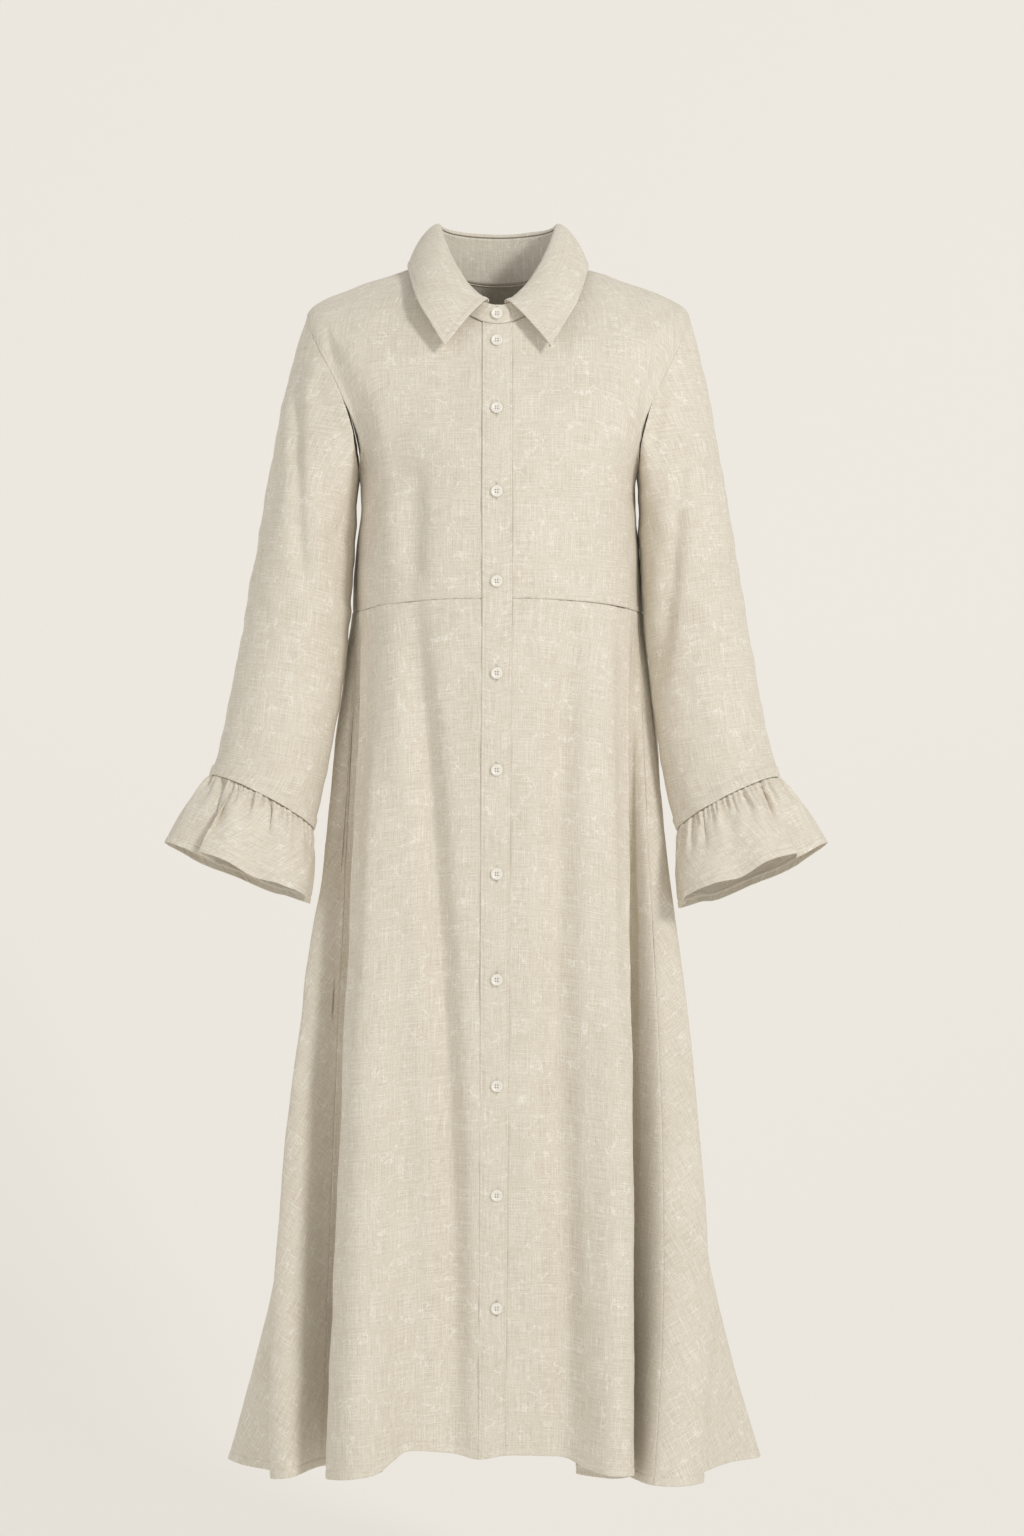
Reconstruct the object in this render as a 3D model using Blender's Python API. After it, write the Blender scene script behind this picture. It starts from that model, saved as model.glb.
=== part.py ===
"""Long-sleeved linen shirt dress, worn form, hollow and open.

Metres, +Z up. The front faces -Y and the wearer's left is at +X. The origin is
on the centre axis at the height of the shoulders' high point, where the dress
hangs from its wearer. Tables are in millimetres and degrees.
"""
import math

import bmesh
import bpy
from mathutils import Vector

MM = 0.001

# Cloth and seams
WALL = 1.2
BAND_WALL = 1.5
COLLAR_WALL = 1.5
SEAM_GAP = 0.3
INNER_TRIM = 0.3
ARMHOLE_TRIM = 1.0

# Front band, from the neck seam to the hem
BAND_LEFT = -16.0
BAND_RIGHT = 15.5
BAND_INNER = 5.0
UNDERLAP = 12.5

# Body rings, from the waist seam up to the neck seam. side_z is the ring's height
# at the side, half_width its reach in X, and square how round its section is.
BODY_COLUMNS = ("side_z", "half_width", "square", "front_y", "front_z", "back_y", "back_z",
                "armhole_x")
BODY_RINGS = (
    ("waist", -370, 148.5, 0.86, 117, -361, 92, -366, 148.5),
    ("ribs", -300, 148, 0.86, 123, -294, 98, -297, 148),
    ("armpit", -222, 150, 0.86, 124, -220, 104, -218, 150),
    ("chest", -180, 180, 0.86, 118, -188, 106, -176, 156),
    ("mid armhole", -130, 200, 0.86, 109, -155, 103, -126, 170),
    ("upper armhole", -85, 208, 0.86, 101, -130, 97, -82, 189),
    ("shoulder tip", -50, 206, 0.86, 95, -112, 90, -50, 204),
    ("shoulder edge", -33, 187, 0.88, 91, -102, 86, -38, 187),
    ("mid shoulder", -18, 150, 0.92, 88, -92, 80, -28, 150),
    ("neck", 8, 74, 1.0, 82, -70, 62, -8, 74),
)
ARMPIT = 2
TIP = 6
NECK = 9
HEIGHT_ROUNDING = 1.6
FOLD_SIDE_SHARE = 0.6
LEVELS_BELOW_ARMPIT = (0.0, 0.5, 1.0, 1.5)
LEVELS_ABOVE_TIP = (6.6, 7.3, 8.0, 8.5, 9.0)
ARMHOLE_STEPS = 12
FRONT_COLUMNS = 8
BACK_COLUMNS = 12

# Soft folds on the bodice: a line from top to bottom, half width and depth.
FOLD_COLUMNS = ("top_x", "top_z", "bottom_x", "bottom_z", "spread", "depth")
FOLD_END_FADE = 0.25
BODICE_FOLDS = (
    ("drag by the right armhole", -184, -72, -140, -215, 13, 5.0),
    ("right drag above the waist", -112, -150, -86, -350, 20, 3.0),
    ("ridge between the drags", -128, -160, -112, -340, 16, -2.0),
    ("left drag by the armhole", 176, -92, 138, -215, 14, 3.0),
    ("left drag above the waist", 84, -170, 70, -350, 24, 2.2),
    ("left ridge above the waist", 112, -160, 104, -340, 18, -2.0),
)

# Skirt hem, all the way round from the wearer's right tip past the front, then the
# back. waist_deg is where each line starts at the waist, and bow how far it swings
# sideways on its way down.
HEM_COLUMNS = ("waist_deg", "x", "y", "z", "bow")
HEM = (
    ("right tip", -111, -294, 18, -1286, 12),
    ("right flute front", -107, -275, -20, -1286, 10),
    ("right flute inner turn", -103, -237, -54, -1286, 0),
    ("second flute edge", -99, -239, -86, -1286, -26),
    ("second flute crest", -95, -216, -98, -1282, -20),
    ("second flute end", -91, -190, -57, -1280, -8),
    ("gap beside the main flute", -87, -172, -38, -1284, 0),
    ("deep fold turn", -83, -124, -48, -1286, 8),
    ("deep fold under wall", -79, -146, -86, -1285, 4),
    ("main flute edge", -75, -179, -106, -1281, -3),
    ("main flute front", -70, -170, -142, -1275, -3),
    ("main flute crest", -63, -149, -158, -1271, -3),
    ("main flute fall", -54, -125, -148, -1268, 0),
    ("front hollow rise", -45, -108, -126, -1259, 0),
    ("front hollow", -38, -92, -111, -1252, 0),
    ("front soft valley", -26, -50, -103, -1256, 0),
    ("band right edge", -4.3, -20.5, -112, -1260, 0),
    ("band left edge", 4.1, 8, -112, -1256, 0),
    ("left flat", 20, 46, -110, -1257, 0),
    ("left soft valley", 31, 69, -113, -1258, 0),
    ("fourth flute rise", 42, 88, -132, -1264, 0),
    ("fourth flute crest", 54, 112, -157, -1267, 0),
    ("fourth flute front", 62, 129, -158, -1268, 2),
    ("fourth flute edge", 70, 141, -136, -1272, 2),
    ("fourth under wall", 74, 120, -96, -1284, 0),
    ("fourth deep turn", 78, 84, -62, -1286, -4),
    ("fourth gap", 82, 130, -54, -1286, 0),
    ("fifth flute start", 86, 142, -103, -1282, 8),
    ("fifth flute front", 90, 160, -148, -1279, 18),
    ("fifth flute crest", 94, 190, -154, -1279, 26),
    ("fifth flute edge", 98, 214, -130, -1280, 30),
    ("fifth inner turn", 102, 209, -84, -1284, 14),
    ("left flute front", 106, 246, -30, -1282, 0),
    ("left tip", 110, 283, 10, -1284, -14),
    ("back side flute", 115, 268, 50, -1285, -6),
    ("back side valley", 122, 212, 76, -1286, 0),
    ("back first crest", 131, 206, 136, -1286, 8),
    ("back first valley", 140, 146, 128, -1286, 0),
    ("back second crest", 151, 112, 190, -1286, 3),
    ("back second valley", 163, 52, 150, -1286, 0),
    ("back third crest", 175, 8, 184, -1286, 0),
    ("back third valley", 186, -40, 156, -1286, 0),
    ("back fourth crest", 198, -92, 196, -1286, -2),
    ("back fourth valley", 209, -134, 134, -1286, 0),
    ("back fifth crest", 221, -186, 150, -1286, -6),
    ("back fifth valley", 231, -206, 88, -1286, 0),
    ("back sixth crest", 241, -258, 64, -1286, -2),
    ("right side valley", 248, -266, 38, -1286, 2),
)
SKIRT_FLARE = 0.05
FOLD_GROWTH = 1.35
BOW_SCALE = 6.75
SOFT_HEM_WEIGHTS = (1, 2, 3, 2, 1)
BAND_ROW = 16
SIDE_SEAM_DEG = 90.0
SKIRT_ROWS = 6
HEM_STEPS = 3

# Sleeves: each row is a section from its outer to its inner point, with the depth
# of its middle and its half depth. The wearer's right sleeve is at -X.
SLEEVE_COLUMNS = ("outer_x", "outer_z", "inner_x", "inner_z", "middle_y", "half_depth")
SLEEVES = {
    "right": (
        ("armhole", -206, -48, -150.6, -222, 0, 68),
        ("cap", -229, -128, -153.5, -262, 1, 66),
        ("upper arm", -247, -222, -156.5, -304, 2, 63),
        ("elbow", -265, -326, -161, -364, -2, 59),
        ("forearm", -281, -425, -169, -446, -14, 55),
        ("wrist", -298, -518, -187, -558, -33, 51),
        ("cuff seam", -307, -548, -197, -603, -42, 53),
    ),
    "left": (
        ("armhole", 206, -48, 150.6, -222, 0, 68),
        ("cap", 226, -128, 151.8, -262, 1, 66),
        ("upper arm", 243, -222, 153.4, -304, 2, 63),
        ("elbow", 260, -326, 157.5, -370, -2, 59),
        ("forearm", 275, -425, 166, -452, -14, 55),
        ("wrist", 292, -518, 179.5, -560, -33, 51),
        ("cuff seam", 300, -550, 192, -603, -42, 53),
    ),
}
SLEEVE_COLUMN_COUNT = 24
SLEEVE_ROWS = 10
ARMHOLE_BLEND = 0.3
CUFF_PITCH = 0.23

# Ruffles: seam_deg is where a line of cloth leaves the cuff seam, hem_deg where it
# ends round the hem, and reach how far past the plain hem oval it stands.
RUFFLE_COLUMNS = ("seam_deg", "hem_deg", "reach", "drop")
RUFFLES = {
    "right": (
        ("outer tip", 0, 0, 2, 1),
        ("outer front", 22, 29, 2, 3),
        ("inner turn", 46, 70, -13, 5),
        ("front fold edge", 56, 62, 4, 4),
        ("front wave", 78, 84, 4, 2),
        ("front dip", 100, 105, -4, 5),
        ("inner front wave", 124, 125, 3, 0),
        ("inner corner", 152, 154, 2, -4),
        ("curl", 176, 184, -8, -2),
        ("back inner wave", 200, 204, 4, -6),
        ("back dip", 226, 228, -6, -6),
        ("back wave", 250, 250, 5, -6),
        ("back middle dip", 276, 276, -6, -5),
        ("back outer wave", 302, 302, 5, -3),
        ("back outer dip", 332, 332, -5, -1),
    ),
    "left": (
        ("outer tip", 0, 0, 2, 1),
        ("outer front", 24, 26, 1, 4),
        ("fold dip", 46, 48, -10, 8),
        ("fold edge", 62, 59, 3, 6),
        ("front wave", 82, 82, 5, 3),
        ("front dip", 102, 102, -5, 6),
        ("inner front wave", 124, 122, 2, 0),
        ("inner corner", 150, 152, 3, -4),
        ("curl", 174, 182, -8, -2),
        ("back inner wave", 198, 202, 4, -3),
        ("back dip", 222, 226, -6, -2),
        ("back wave", 248, 248, 5, 0),
        ("back middle dip", 272, 274, -6, 1),
        ("back outer wave", 300, 300, 5, 2),
        ("back outer dip", 330, 330, -5, 2),
    ),
}
RUFFLE_HEM = {
    "right": {"centre": (-274, -64, -651), "outer": (-76, 33), "half_depth": 62},
    "left": {"centre": (269, -64, -652), "outer": (78, 34), "half_depth": 62},
}
GATHERS = 20
COLUMNS_PER_GATHER = 4
GATHER_HEIGHT = 2.0
GATHER_AT_SEAM = 0.35
GATHER_FULL = 0.09
GATHER_END = 0.7
RUFFLE_BELLY = 4
RUFFLE_DOWNS = (0.0, 0.09, 0.24, 0.48, 0.75, 1.0)

# Collar: the fold line is an oval at the top of the stand, and each row of the fall's
# edge names the angle on the fold line that it hangs from. The left half mirrors it.
FOLD_HALF_WIDTH = 62
FOLD_FRONT_Y = 78
FOLD_BACK_Y = 58
FOLD_FRONT_Z = -49
FOLD_SIDE_Z = 45
FOLD_BACK_Z = 44
FALL_COLUMNS = ("fold_deg", "x", "y", "z")
FALL_EDGE = (
    ("right point", -9, -55.6, -104, -96),
    ("right front edge", -32, -72, -95, -68),
    ("right front side", -52, -85, -78, -44),
    ("right side", -72, -93, -48, -18),
    ("right shoulder", -92, -97, -8, 5),
    ("right back", -125, -84, 52, 4),
    ("right back centre", -155, -42, 86, -4),
    ("back centre", -180, 0, 93, -6),
)
RIGHT_POINT_TURNS = (-9.0, -14.0, -20.0)
LEFT_POINT_TURNS = (-340.0, -346.0, -353.0)
NECK_TURNS = (-28.0, -332.0)
NECK_COLUMNS = 28
ROLL_HEIGHT = 13
ROLL_LEAN = 2
FALL_TURN = 0.4
FALL_BULGE = 9
FALL_SHARES = (0.0, 0.12, 0.27, 0.5, 0.75, 1.0)
STAND_ROWS = 3
STAND_FLOOR = 0.02
STAND_CEILING = 0.98
UNDER_LAP_FLOOR = 0.04
UNDER_LAP_TURNS = (-360.0, -366.0)
STAND_LAP = 2.2
STAND_LAP_ENDS = 12
STAND_LAP_FADE = 30
STAND_END = ((10.0, 0.5), (9.4, 0.66), (8.0, 0.8), (5.0, 0.93), (2.0, 1.0), (-3.0, 1.0))

# Buttons
BUTTON_HEIGHTS = (-59, -88, -162, -250, -343, -439, -540, -648.5, -759, -870, -984, -1102)
BUTTON_X = -1.0
BUTTON_PROFILE = ((3.6, 1.5), (4.4, 2.2), (5.6, 2.2), (6.2, 1.5), (6.0, 0.6), (4.6, 0.0))
BUTTON_SIDES = 12
BUTTON_GAP = 0.45

# Colours: sRGB from the photograph, as linear values
LINEN = (0.70, 0.64, 0.53, 1)
IVORY = (0.87, 0.85, 0.79, 1)


def clear_scene():
    for item in list(bpy.data.objects):
        bpy.data.objects.remove(item, do_unlink=True)


def make_material(name, colour, roughness):
    material = bpy.data.materials.new(name)
    material.use_nodes = True
    shader = material.node_tree.nodes["Principled BSDF"]
    shader.inputs["Base Color"].default_value = colour
    shader.inputs["Roughness"].default_value = roughness
    shader.inputs["Metallic"].default_value = 0
    return material


def curve_value(values, place, closed=False):
    """Catmull-Rom value at a place along evenly numbered values."""
    count = len(values)
    start = math.floor(place) if closed else min(max(math.floor(place), 0), count - 2)
    part = place - start

    def pick(number):
        return values[number % count] if closed else values[min(max(number, 0), count - 1)]

    before, first, second, after = (pick(start + step) for step in (-1, 0, 1, 2))
    slope_in = (second - before) / 2
    slope_out = (after - first) / 2
    part2 = part * part
    part3 = part2 * part
    return ((2 * part3 - 3 * part2 + 1) * first + (part3 - 2 * part2 + part) * slope_in
            + (3 * part2 - 2 * part3) * second + (part3 - part2) * slope_out)


def table_column(rows, names, name):
    """One column of a table of named rows."""
    index = names.index(name) + 1
    return [row[index] for row in rows]


def table_values(rows, names, place, closed=False):
    """Every column of a table of named rows, read at a place between its rows."""
    return {name: curve_value(table_column(rows, names, name), place, closed)
            for name in names}


def smooth_step(value):
    value = min(max(value, 0.0), 1.0)
    return value * value * (3 - 2 * value)


def power(value, exponent):
    return math.copysign(abs(value) ** exponent, value)


def ring_at(level):
    return table_values(BODY_RINGS, BODY_COLUMNS, level)


def fold_depth(x, z):
    """How far the bodice's soft folds sink at a place on its front."""
    depth = 0.0
    for row in BODICE_FOLDS:
        fold = dict(zip(FOLD_COLUMNS, row[1:]))
        along_x = fold["bottom_x"] - fold["top_x"]
        along_z = fold["bottom_z"] - fold["top_z"]
        length2 = along_x ** 2 + along_z ** 2
        share = ((x - fold["top_x"]) * along_x + (z - fold["top_z"]) * along_z) / length2
        away = ((x - fold["top_x"]) * along_z - (z - fold["top_z"]) * along_x) / math.sqrt(length2)
        fade = smooth_step(share / FOLD_END_FADE) * smooth_step((1 - share) / FOLD_END_FADE)
        depth += fold["depth"] * fade * math.exp(-((away / fold["spread"]) ** 2))
    return depth


def body_point(level, degrees, lift=0.0):
    """Place on the bodice's outer face. 0 degrees is the front centre, 90 the left side."""
    ring = ring_at(level)
    sine = math.sin(math.radians(degrees))
    cosine = math.cos(math.radians(degrees))
    x = ring["half_width"] * power(sine, ring["square"])
    forward = cosine > 0
    reach = ring["front_y"] if forward else ring["back_y"]
    middle_z = ring["front_z"] if forward else ring["back_z"]
    y = -reach * power(cosine, ring["square"])
    z = ring["side_z"] + (middle_z - ring["side_z"]) * abs(cosine) ** HEIGHT_ROUNDING
    if forward:
        sunk = fold_depth(x, z) * min(1.0, cosine * 2)
        outward = Vector((sine * FOLD_SIDE_SHARE, -cosine, 0)).normalized()
        return Vector((x, y, z)) + outward * (lift - sunk)
    outward = Vector((sine, -cosine, 0)).normalized()
    return Vector((x, y, z)) + outward * lift


def degrees_at_x(level, x):
    ring = ring_at(level)
    share = min(abs(x) / ring["half_width"], 1.0)
    return math.copysign(math.degrees(math.asin(share ** (1 / ring["square"]))), x)


def armhole_degrees(level):
    """Angle of the front armhole edge at a level between the armpit and the tip."""
    return degrees_at_x(level, ring_at(level)["armhole_x"])


def level_at_side(side_z):
    """Level between the armpit and the shoulder tip whose side is at a height."""
    low, high = float(ARMPIT), float(TIP)
    for _ in range(40):
        middle = (low + high) / 2
        if ring_at(middle)["side_z"] < side_z:
            low = middle
        else:
            high = middle
    return (low + high) / 2


def armhole_level(step):
    """Level of a step down the armhole: 1 is the shoulder tip, 12 the armpit."""
    start = math.cos(math.pi / ARMHOLE_STEPS)
    share = (start - math.cos(math.pi * step / ARMHOLE_STEPS)) / (start + 1)
    top = BODY_RINGS[TIP][1]
    bottom = BODY_RINGS[ARMPIT][1]
    if step == 1:
        return float(TIP)
    if step == ARMHOLE_STEPS:
        return float(ARMPIT)
    return level_at_side(top + (bottom - top) * share)


def body_levels():
    beside = [armhole_level(step) for step in range(ARMHOLE_STEPS, 0, -1)]
    return list(LEVELS_BELOW_ARMPIT) + beside + list(LEVELS_ABOVE_TIP)


def front_end(level):
    if level <= ARMPIT:
        return 90.0
    return armhole_degrees(min(level, float(TIP)))


def spread(first, last, count):
    return [first + (last - first) * step / count for step in range(count + 1)]


def closest_sign(grid, inside):
    """+1 where a grid's own normals point away from the inside, or else -1."""
    total = 0.0
    for row, cells in enumerate(grid[:-1]):
        for column in range(len(cells) - 1):
            corners = (grid[row][column], grid[row][column + 1], grid[row + 1][column])
            if None in corners:
                continue
            across = corners[1] - corners[0]
            down = corners[2] - corners[0]
            total += across.cross(down).dot(corners[0] - inside(corners[0]))
    return 1.0 if total > 0 else -1.0


def surface_normals(surface, cells, across_step, along_step):
    """True normals of a surface at each (across, along) cell of a grid."""
    grid = []
    for row in cells:
        normals = []
        for cell in row:
            if cell is None:
                normals.append(None)
                continue
            across, along = cell
            side = surface(across + across_step, along) - surface(across - across_step, along)
            rise = surface(across, along + along_step) - surface(across, along - along_step)
            normals.append(side.cross(rise).normalized())
        grid.append(normals)
    return grid


def surface_points(surface, cells):
    return [[None if cell is None else surface(*cell) for cell in row] for row in cells]


def cloth_solid(name, grid, inside, material, wall=WALL, closed=False, trim=INNER_TRIM,
                true_normals=None):
    """One closed wall of cloth: a grid of outer points, its inner copy and the rims."""
    width = len(grid[0])
    across_count = width if closed else width - 1
    sign = closest_sign(grid, inside)
    keys = {}
    points = []
    for row, cells in enumerate(grid):
        for column, point in enumerate(cells):
            if point is not None:
                keys[row, column] = len(points)
                points.append(point)
    quads = []
    for row in range(len(grid) - 1):
        for column in range(across_count):
            following = (column + 1) % width
            corners = ((row, column), (row, following), (row + 1, following), (row + 1, column))
            if all(corner in keys for corner in corners):
                quads.append([keys[corner] for corner in corners])
    normals = [Vector() for _ in points]
    edges = {}
    for quad in quads:
        diagonal = points[quad[2]] - points[quad[0]]
        normal = diagonal.cross(points[quad[3]] - points[quad[1]]) * sign
        middle = sum((points[corner] for corner in quad), Vector()) / 4
        for place, corner in enumerate(quad):
            normals[corner] += normal
            edges[corner, quad[(place + 1) % 4]] = middle
    rim = [edge for edge in edges if (edge[1], edge[0]) not in edges]
    inward = {}
    for first, second in rim:
        along = (points[second] - points[first]).normalized()
        towards = edges[first, second] - points[first]
        towards = (towards - along * towards.dot(along)).normalized()
        for corner in (first, second):
            inward.setdefault(corner, []).append(towards)
    if true_normals:
        for (row, column), number in keys.items():
            ours = true_normals[row][column]
            normals[number] = ours if ours.dot(normals[number]) > 0 else -ours
    outer = []
    inner = []
    for number, point in enumerate(points):
        normal = normals[number].normalized()
        pull = Vector()
        if number in inward:
            one, other = inward[number]
            pull = (one + other) / max(1 + one.dot(other), 0.5)
        outer.append(point + pull * SEAM_GAP / 2)
        inner.append(point + pull * (SEAM_GAP / 2 + trim) - normal * wall)
    shift = len(points)
    halves = [(quad[0], quad[1], quad[2]) for quad in quads]
    halves += [(quad[0], quad[2], quad[3]) for quad in quads]
    faces = [list(half) for half in halves]
    faces += [[corner + shift for corner in reversed(half)] for half in halves]
    faces += [[second, first, first + shift, second + shift] for first, second in rim]
    if sign < 0:
        faces = [list(reversed(face)) for face in faces]
    mesh = bpy.data.meshes.new(name)
    mesh.from_pydata([point * MM for point in outer + inner], [], faces)
    return finish_object(name, mesh, material)


def finish_object(name, mesh, material):
    mesh.materials.append(material)
    shape = bmesh.new()
    shape.from_mesh(mesh)
    bmesh.ops.recalc_face_normals(shape, faces=shape.faces)
    shape.to_mesh(mesh)
    shape.free()
    mesh.shade_smooth()
    mesh.set_sharp_from_angle(angle=math.radians(50))
    item = bpy.data.objects.new(name, mesh)
    bpy.context.collection.objects.link(item)
    return item


def body_axis(point):
    return Vector((point.x * 0.2, 0, point.z))


def front_bodice(side, material):
    """One front panel. The wearer's right front runs on under the band."""
    cells = []
    for level in body_levels():
        if side == "right":
            edge = degrees_at_x(level, BAND_LEFT)
            angles = [degrees_at_x(level, UNDERLAP), 0.0]
            angles += spread(edge, -front_end(level), FRONT_COLUMNS)
        else:
            edge = degrees_at_x(level, BAND_RIGHT)
            angles = spread(edge, front_end(level), FRONT_COLUMNS)
        cells.append([(level, angle) for angle in angles])
    bodice_panel(f"front_bodice_{side}", cells, material)


def bodice_panel(name, cells, material):
    cloth_solid(name, surface_points(body_point, cells), body_axis, material, trim=ARMHOLE_TRIM,
                true_normals=surface_normals(body_point, cells, 0.02, 1.0))


def back_bodice(material):
    """The back, which runs over the shoulders to their forward seams."""
    seam = armhole_degrees(float(TIP))
    cells = []
    for level in body_levels():
        edge = 180 - front_end(level)
        middle = [(level, angle) for angle in spread(edge, 360 - edge, BACK_COLUMNS)]
        if level < TIP:
            cells.append([None, None] + middle + [None, None])
        else:
            before = [(level, seam), (level, 90.0)]
            after = [(level, 270.0), (level, 360 - seam)]
            cells.append(before + middle + after)
    bodice_panel("back_bodice", cells, material)


def soft_hem(name):
    """A hem column averaged over its neighbours, for the shape without its folds."""
    values = table_column(HEM, HEM_COLUMNS, name)
    count = len(values)
    reach = len(SOFT_HEM_WEIGHTS) // 2
    return [sum(weight * values[(number + shift - reach) % count]
                for shift, weight in enumerate(SOFT_HEM_WEIGHTS)) / sum(SOFT_HEM_WEIGHTS)
            for number in range(count)]


SOFT_HEM_X = soft_hem("x")
SOFT_HEM_Y = soft_hem("y")


def skirt_point(place, down, lift=0.0):
    """Place on the skirt: place runs round the hem table, down from 0 to 1."""
    hem = table_values(HEM, HEM_COLUMNS, place, closed=True)
    soft_x = curve_value(SOFT_HEM_X, place, closed=True)
    soft_y = curve_value(SOFT_HEM_Y, place, closed=True)
    count = len(HEM)
    turns = math.floor(place / count)
    hem["waist_deg"] = waist_degrees(place - turns * count)
    waist = body_point(0, hem["waist_deg"])
    opened = down + SKIRT_FLARE * math.sin(2 * math.pi * down)
    folded = abs(down) ** FOLD_GROWTH
    x = waist.x + (soft_x - waist.x) * opened + (hem["x"] - soft_x) * folded
    x += hem["bow"] * BOW_SCALE * down * down * (1 - down)
    y = waist.y + (soft_y - waist.y) * opened + (hem["y"] - soft_y) * folded
    z = waist.z + (hem["z"] - waist.z) * down
    return Vector((x, y - lift, z))


def waist_degrees(place):
    """The waist angle between rows, held rising and closed over a full turn."""
    first = math.floor(place)
    values = table_column(HEM, HEM_COLUMNS, "waist_deg")
    values.append(values[0] + 360)
    return values[first] + (values[first + 1] - values[first]) * (place - first)


def place_at_waist(degrees):
    """Place in the hem table whose line starts at a waist angle."""
    values = table_column(HEM, HEM_COLUMNS, "waist_deg")
    for number in range(len(values) - 1):
        if values[number] <= degrees <= values[number + 1]:
            return number + (degrees - values[number]) / (values[number + 1] - values[number])
    raise ValueError("no such waist angle")


def skirt_places(first, last):
    """Columns between two places: fixed steps inside each row, and both ends."""
    start = math.ceil(first * HEM_STEPS + 0.3)
    stop = math.floor(last * HEM_STEPS - 0.3)
    return [first] + [step / HEM_STEPS for step in range(start, stop + 1)] + [last]


def skirt_downs():
    return [row / SKIRT_ROWS for row in range(SKIRT_ROWS + 1)]


def skirt_panels(material):
    left_side = place_at_waist(SIDE_SEAM_DEG)
    right_side = place_at_waist(-SIDE_SEAM_DEG)
    under = BAND_ROW + (UNDERLAP - BAND_LEFT) / (BAND_RIGHT - BAND_LEFT)
    panels = (
        ("front_skirt_right", right_side, under),
        ("front_skirt_left", BAND_ROW + 1.0, left_side),
        ("back_skirt", left_side, right_side + len(HEM)),
    )
    for name, first, last in panels:
        cells = [[(place, down) for place in skirt_places(first, last)] for down in skirt_downs()]
        cloth_solid(name, surface_points(skirt_point, cells), body_axis, material,
                    true_normals=surface_normals(skirt_point, cells, 0.06, 0.01))


def band_point(x, level):
    """Place on the band. Levels 9 to 0 are the bodice, then -1 is the hem."""
    lift = SEAM_GAP + BAND_WALL
    if level >= 0:
        return body_point(level, degrees_at_x(level, x), lift)
    place = BAND_ROW + (x - BAND_LEFT) / (BAND_RIGHT - BAND_LEFT)
    return skirt_point(place, -level, lift)


def button_band(material):
    levels = list(reversed(body_levels())) + [-down for down in skirt_downs()[1:]]
    columns = (BAND_LEFT, -BAND_INNER, BAND_INNER, BAND_RIGHT - SEAM_GAP)
    grid = [[band_point(x, level) for x in columns] for level in levels]
    cloth_solid("button_band", grid, body_axis, material, wall=BAND_WALL, trim=0.0)


def armhole_loop(side):
    """The armhole from the ridge down the front to the armpit and up the back."""
    turn = -1 if side == "right" else 1
    loop = [body_point(float(TIP), 90.0 * turn)]
    for step in range(1, ARMHOLE_STEPS + 1):
        level = armhole_level(step)
        loop.append(body_point(level, front_end(level) * turn))
    for step in range(ARMHOLE_STEPS - 1, 0, -1):
        level = armhole_level(step)
        loop.append(body_point(level, (180 - front_end(level)) * turn))
    return loop


def sleeve_section(side, place, degrees):
    """Place on the plain tube. 0 degrees is its outer line, 90 its front."""
    row = table_values(SLEEVES[side], SLEEVE_COLUMNS, place)
    outer = Vector((row["outer_x"], row["middle_y"], row["outer_z"]))
    inner = Vector((row["inner_x"], row["middle_y"], row["inner_z"]))
    middle = (outer + inner) / 2
    cosine = math.cos(math.radians(degrees))
    sine = math.sin(math.radians(degrees))
    pitch = CUFF_PITCH * smooth_step(place / (len(SLEEVES[side]) - 1))
    front = Vector((0, -row["half_depth"], row["half_depth"] * pitch))
    return middle + (outer - middle) * cosine + front * sine


def sleeve(side, material):
    loop = armhole_loop(side)
    last = len(SLEEVES[side]) - 1
    step = 360 / SLEEVE_COLUMN_COUNT
    middles = [(sleeve_section(side, place, 0) + sleeve_section(side, place, 180)) / 2
               for place in range(last + 1)]
    grid = []
    for row in range(SLEEVE_ROWS + 1):
        share = row / SLEEVE_ROWS
        place = last * share
        blend = 1 - smooth_step(share / ARMHOLE_BLEND)
        cells = []
        for column in range(SLEEVE_COLUMN_COUNT):
            point = sleeve_section(side, place, column * step)
            start = sleeve_section(side, 0, column * step)
            cells.append(point + (loop[column] - start) * blend)
        grid.append(cells)

    def inside(point):
        return min(middles, key=lambda middle: (middle - point).length)

    cloth_solid(f"sleeve_{side}", grid, inside, material, closed=True, trim=ARMHOLE_TRIM)


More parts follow.
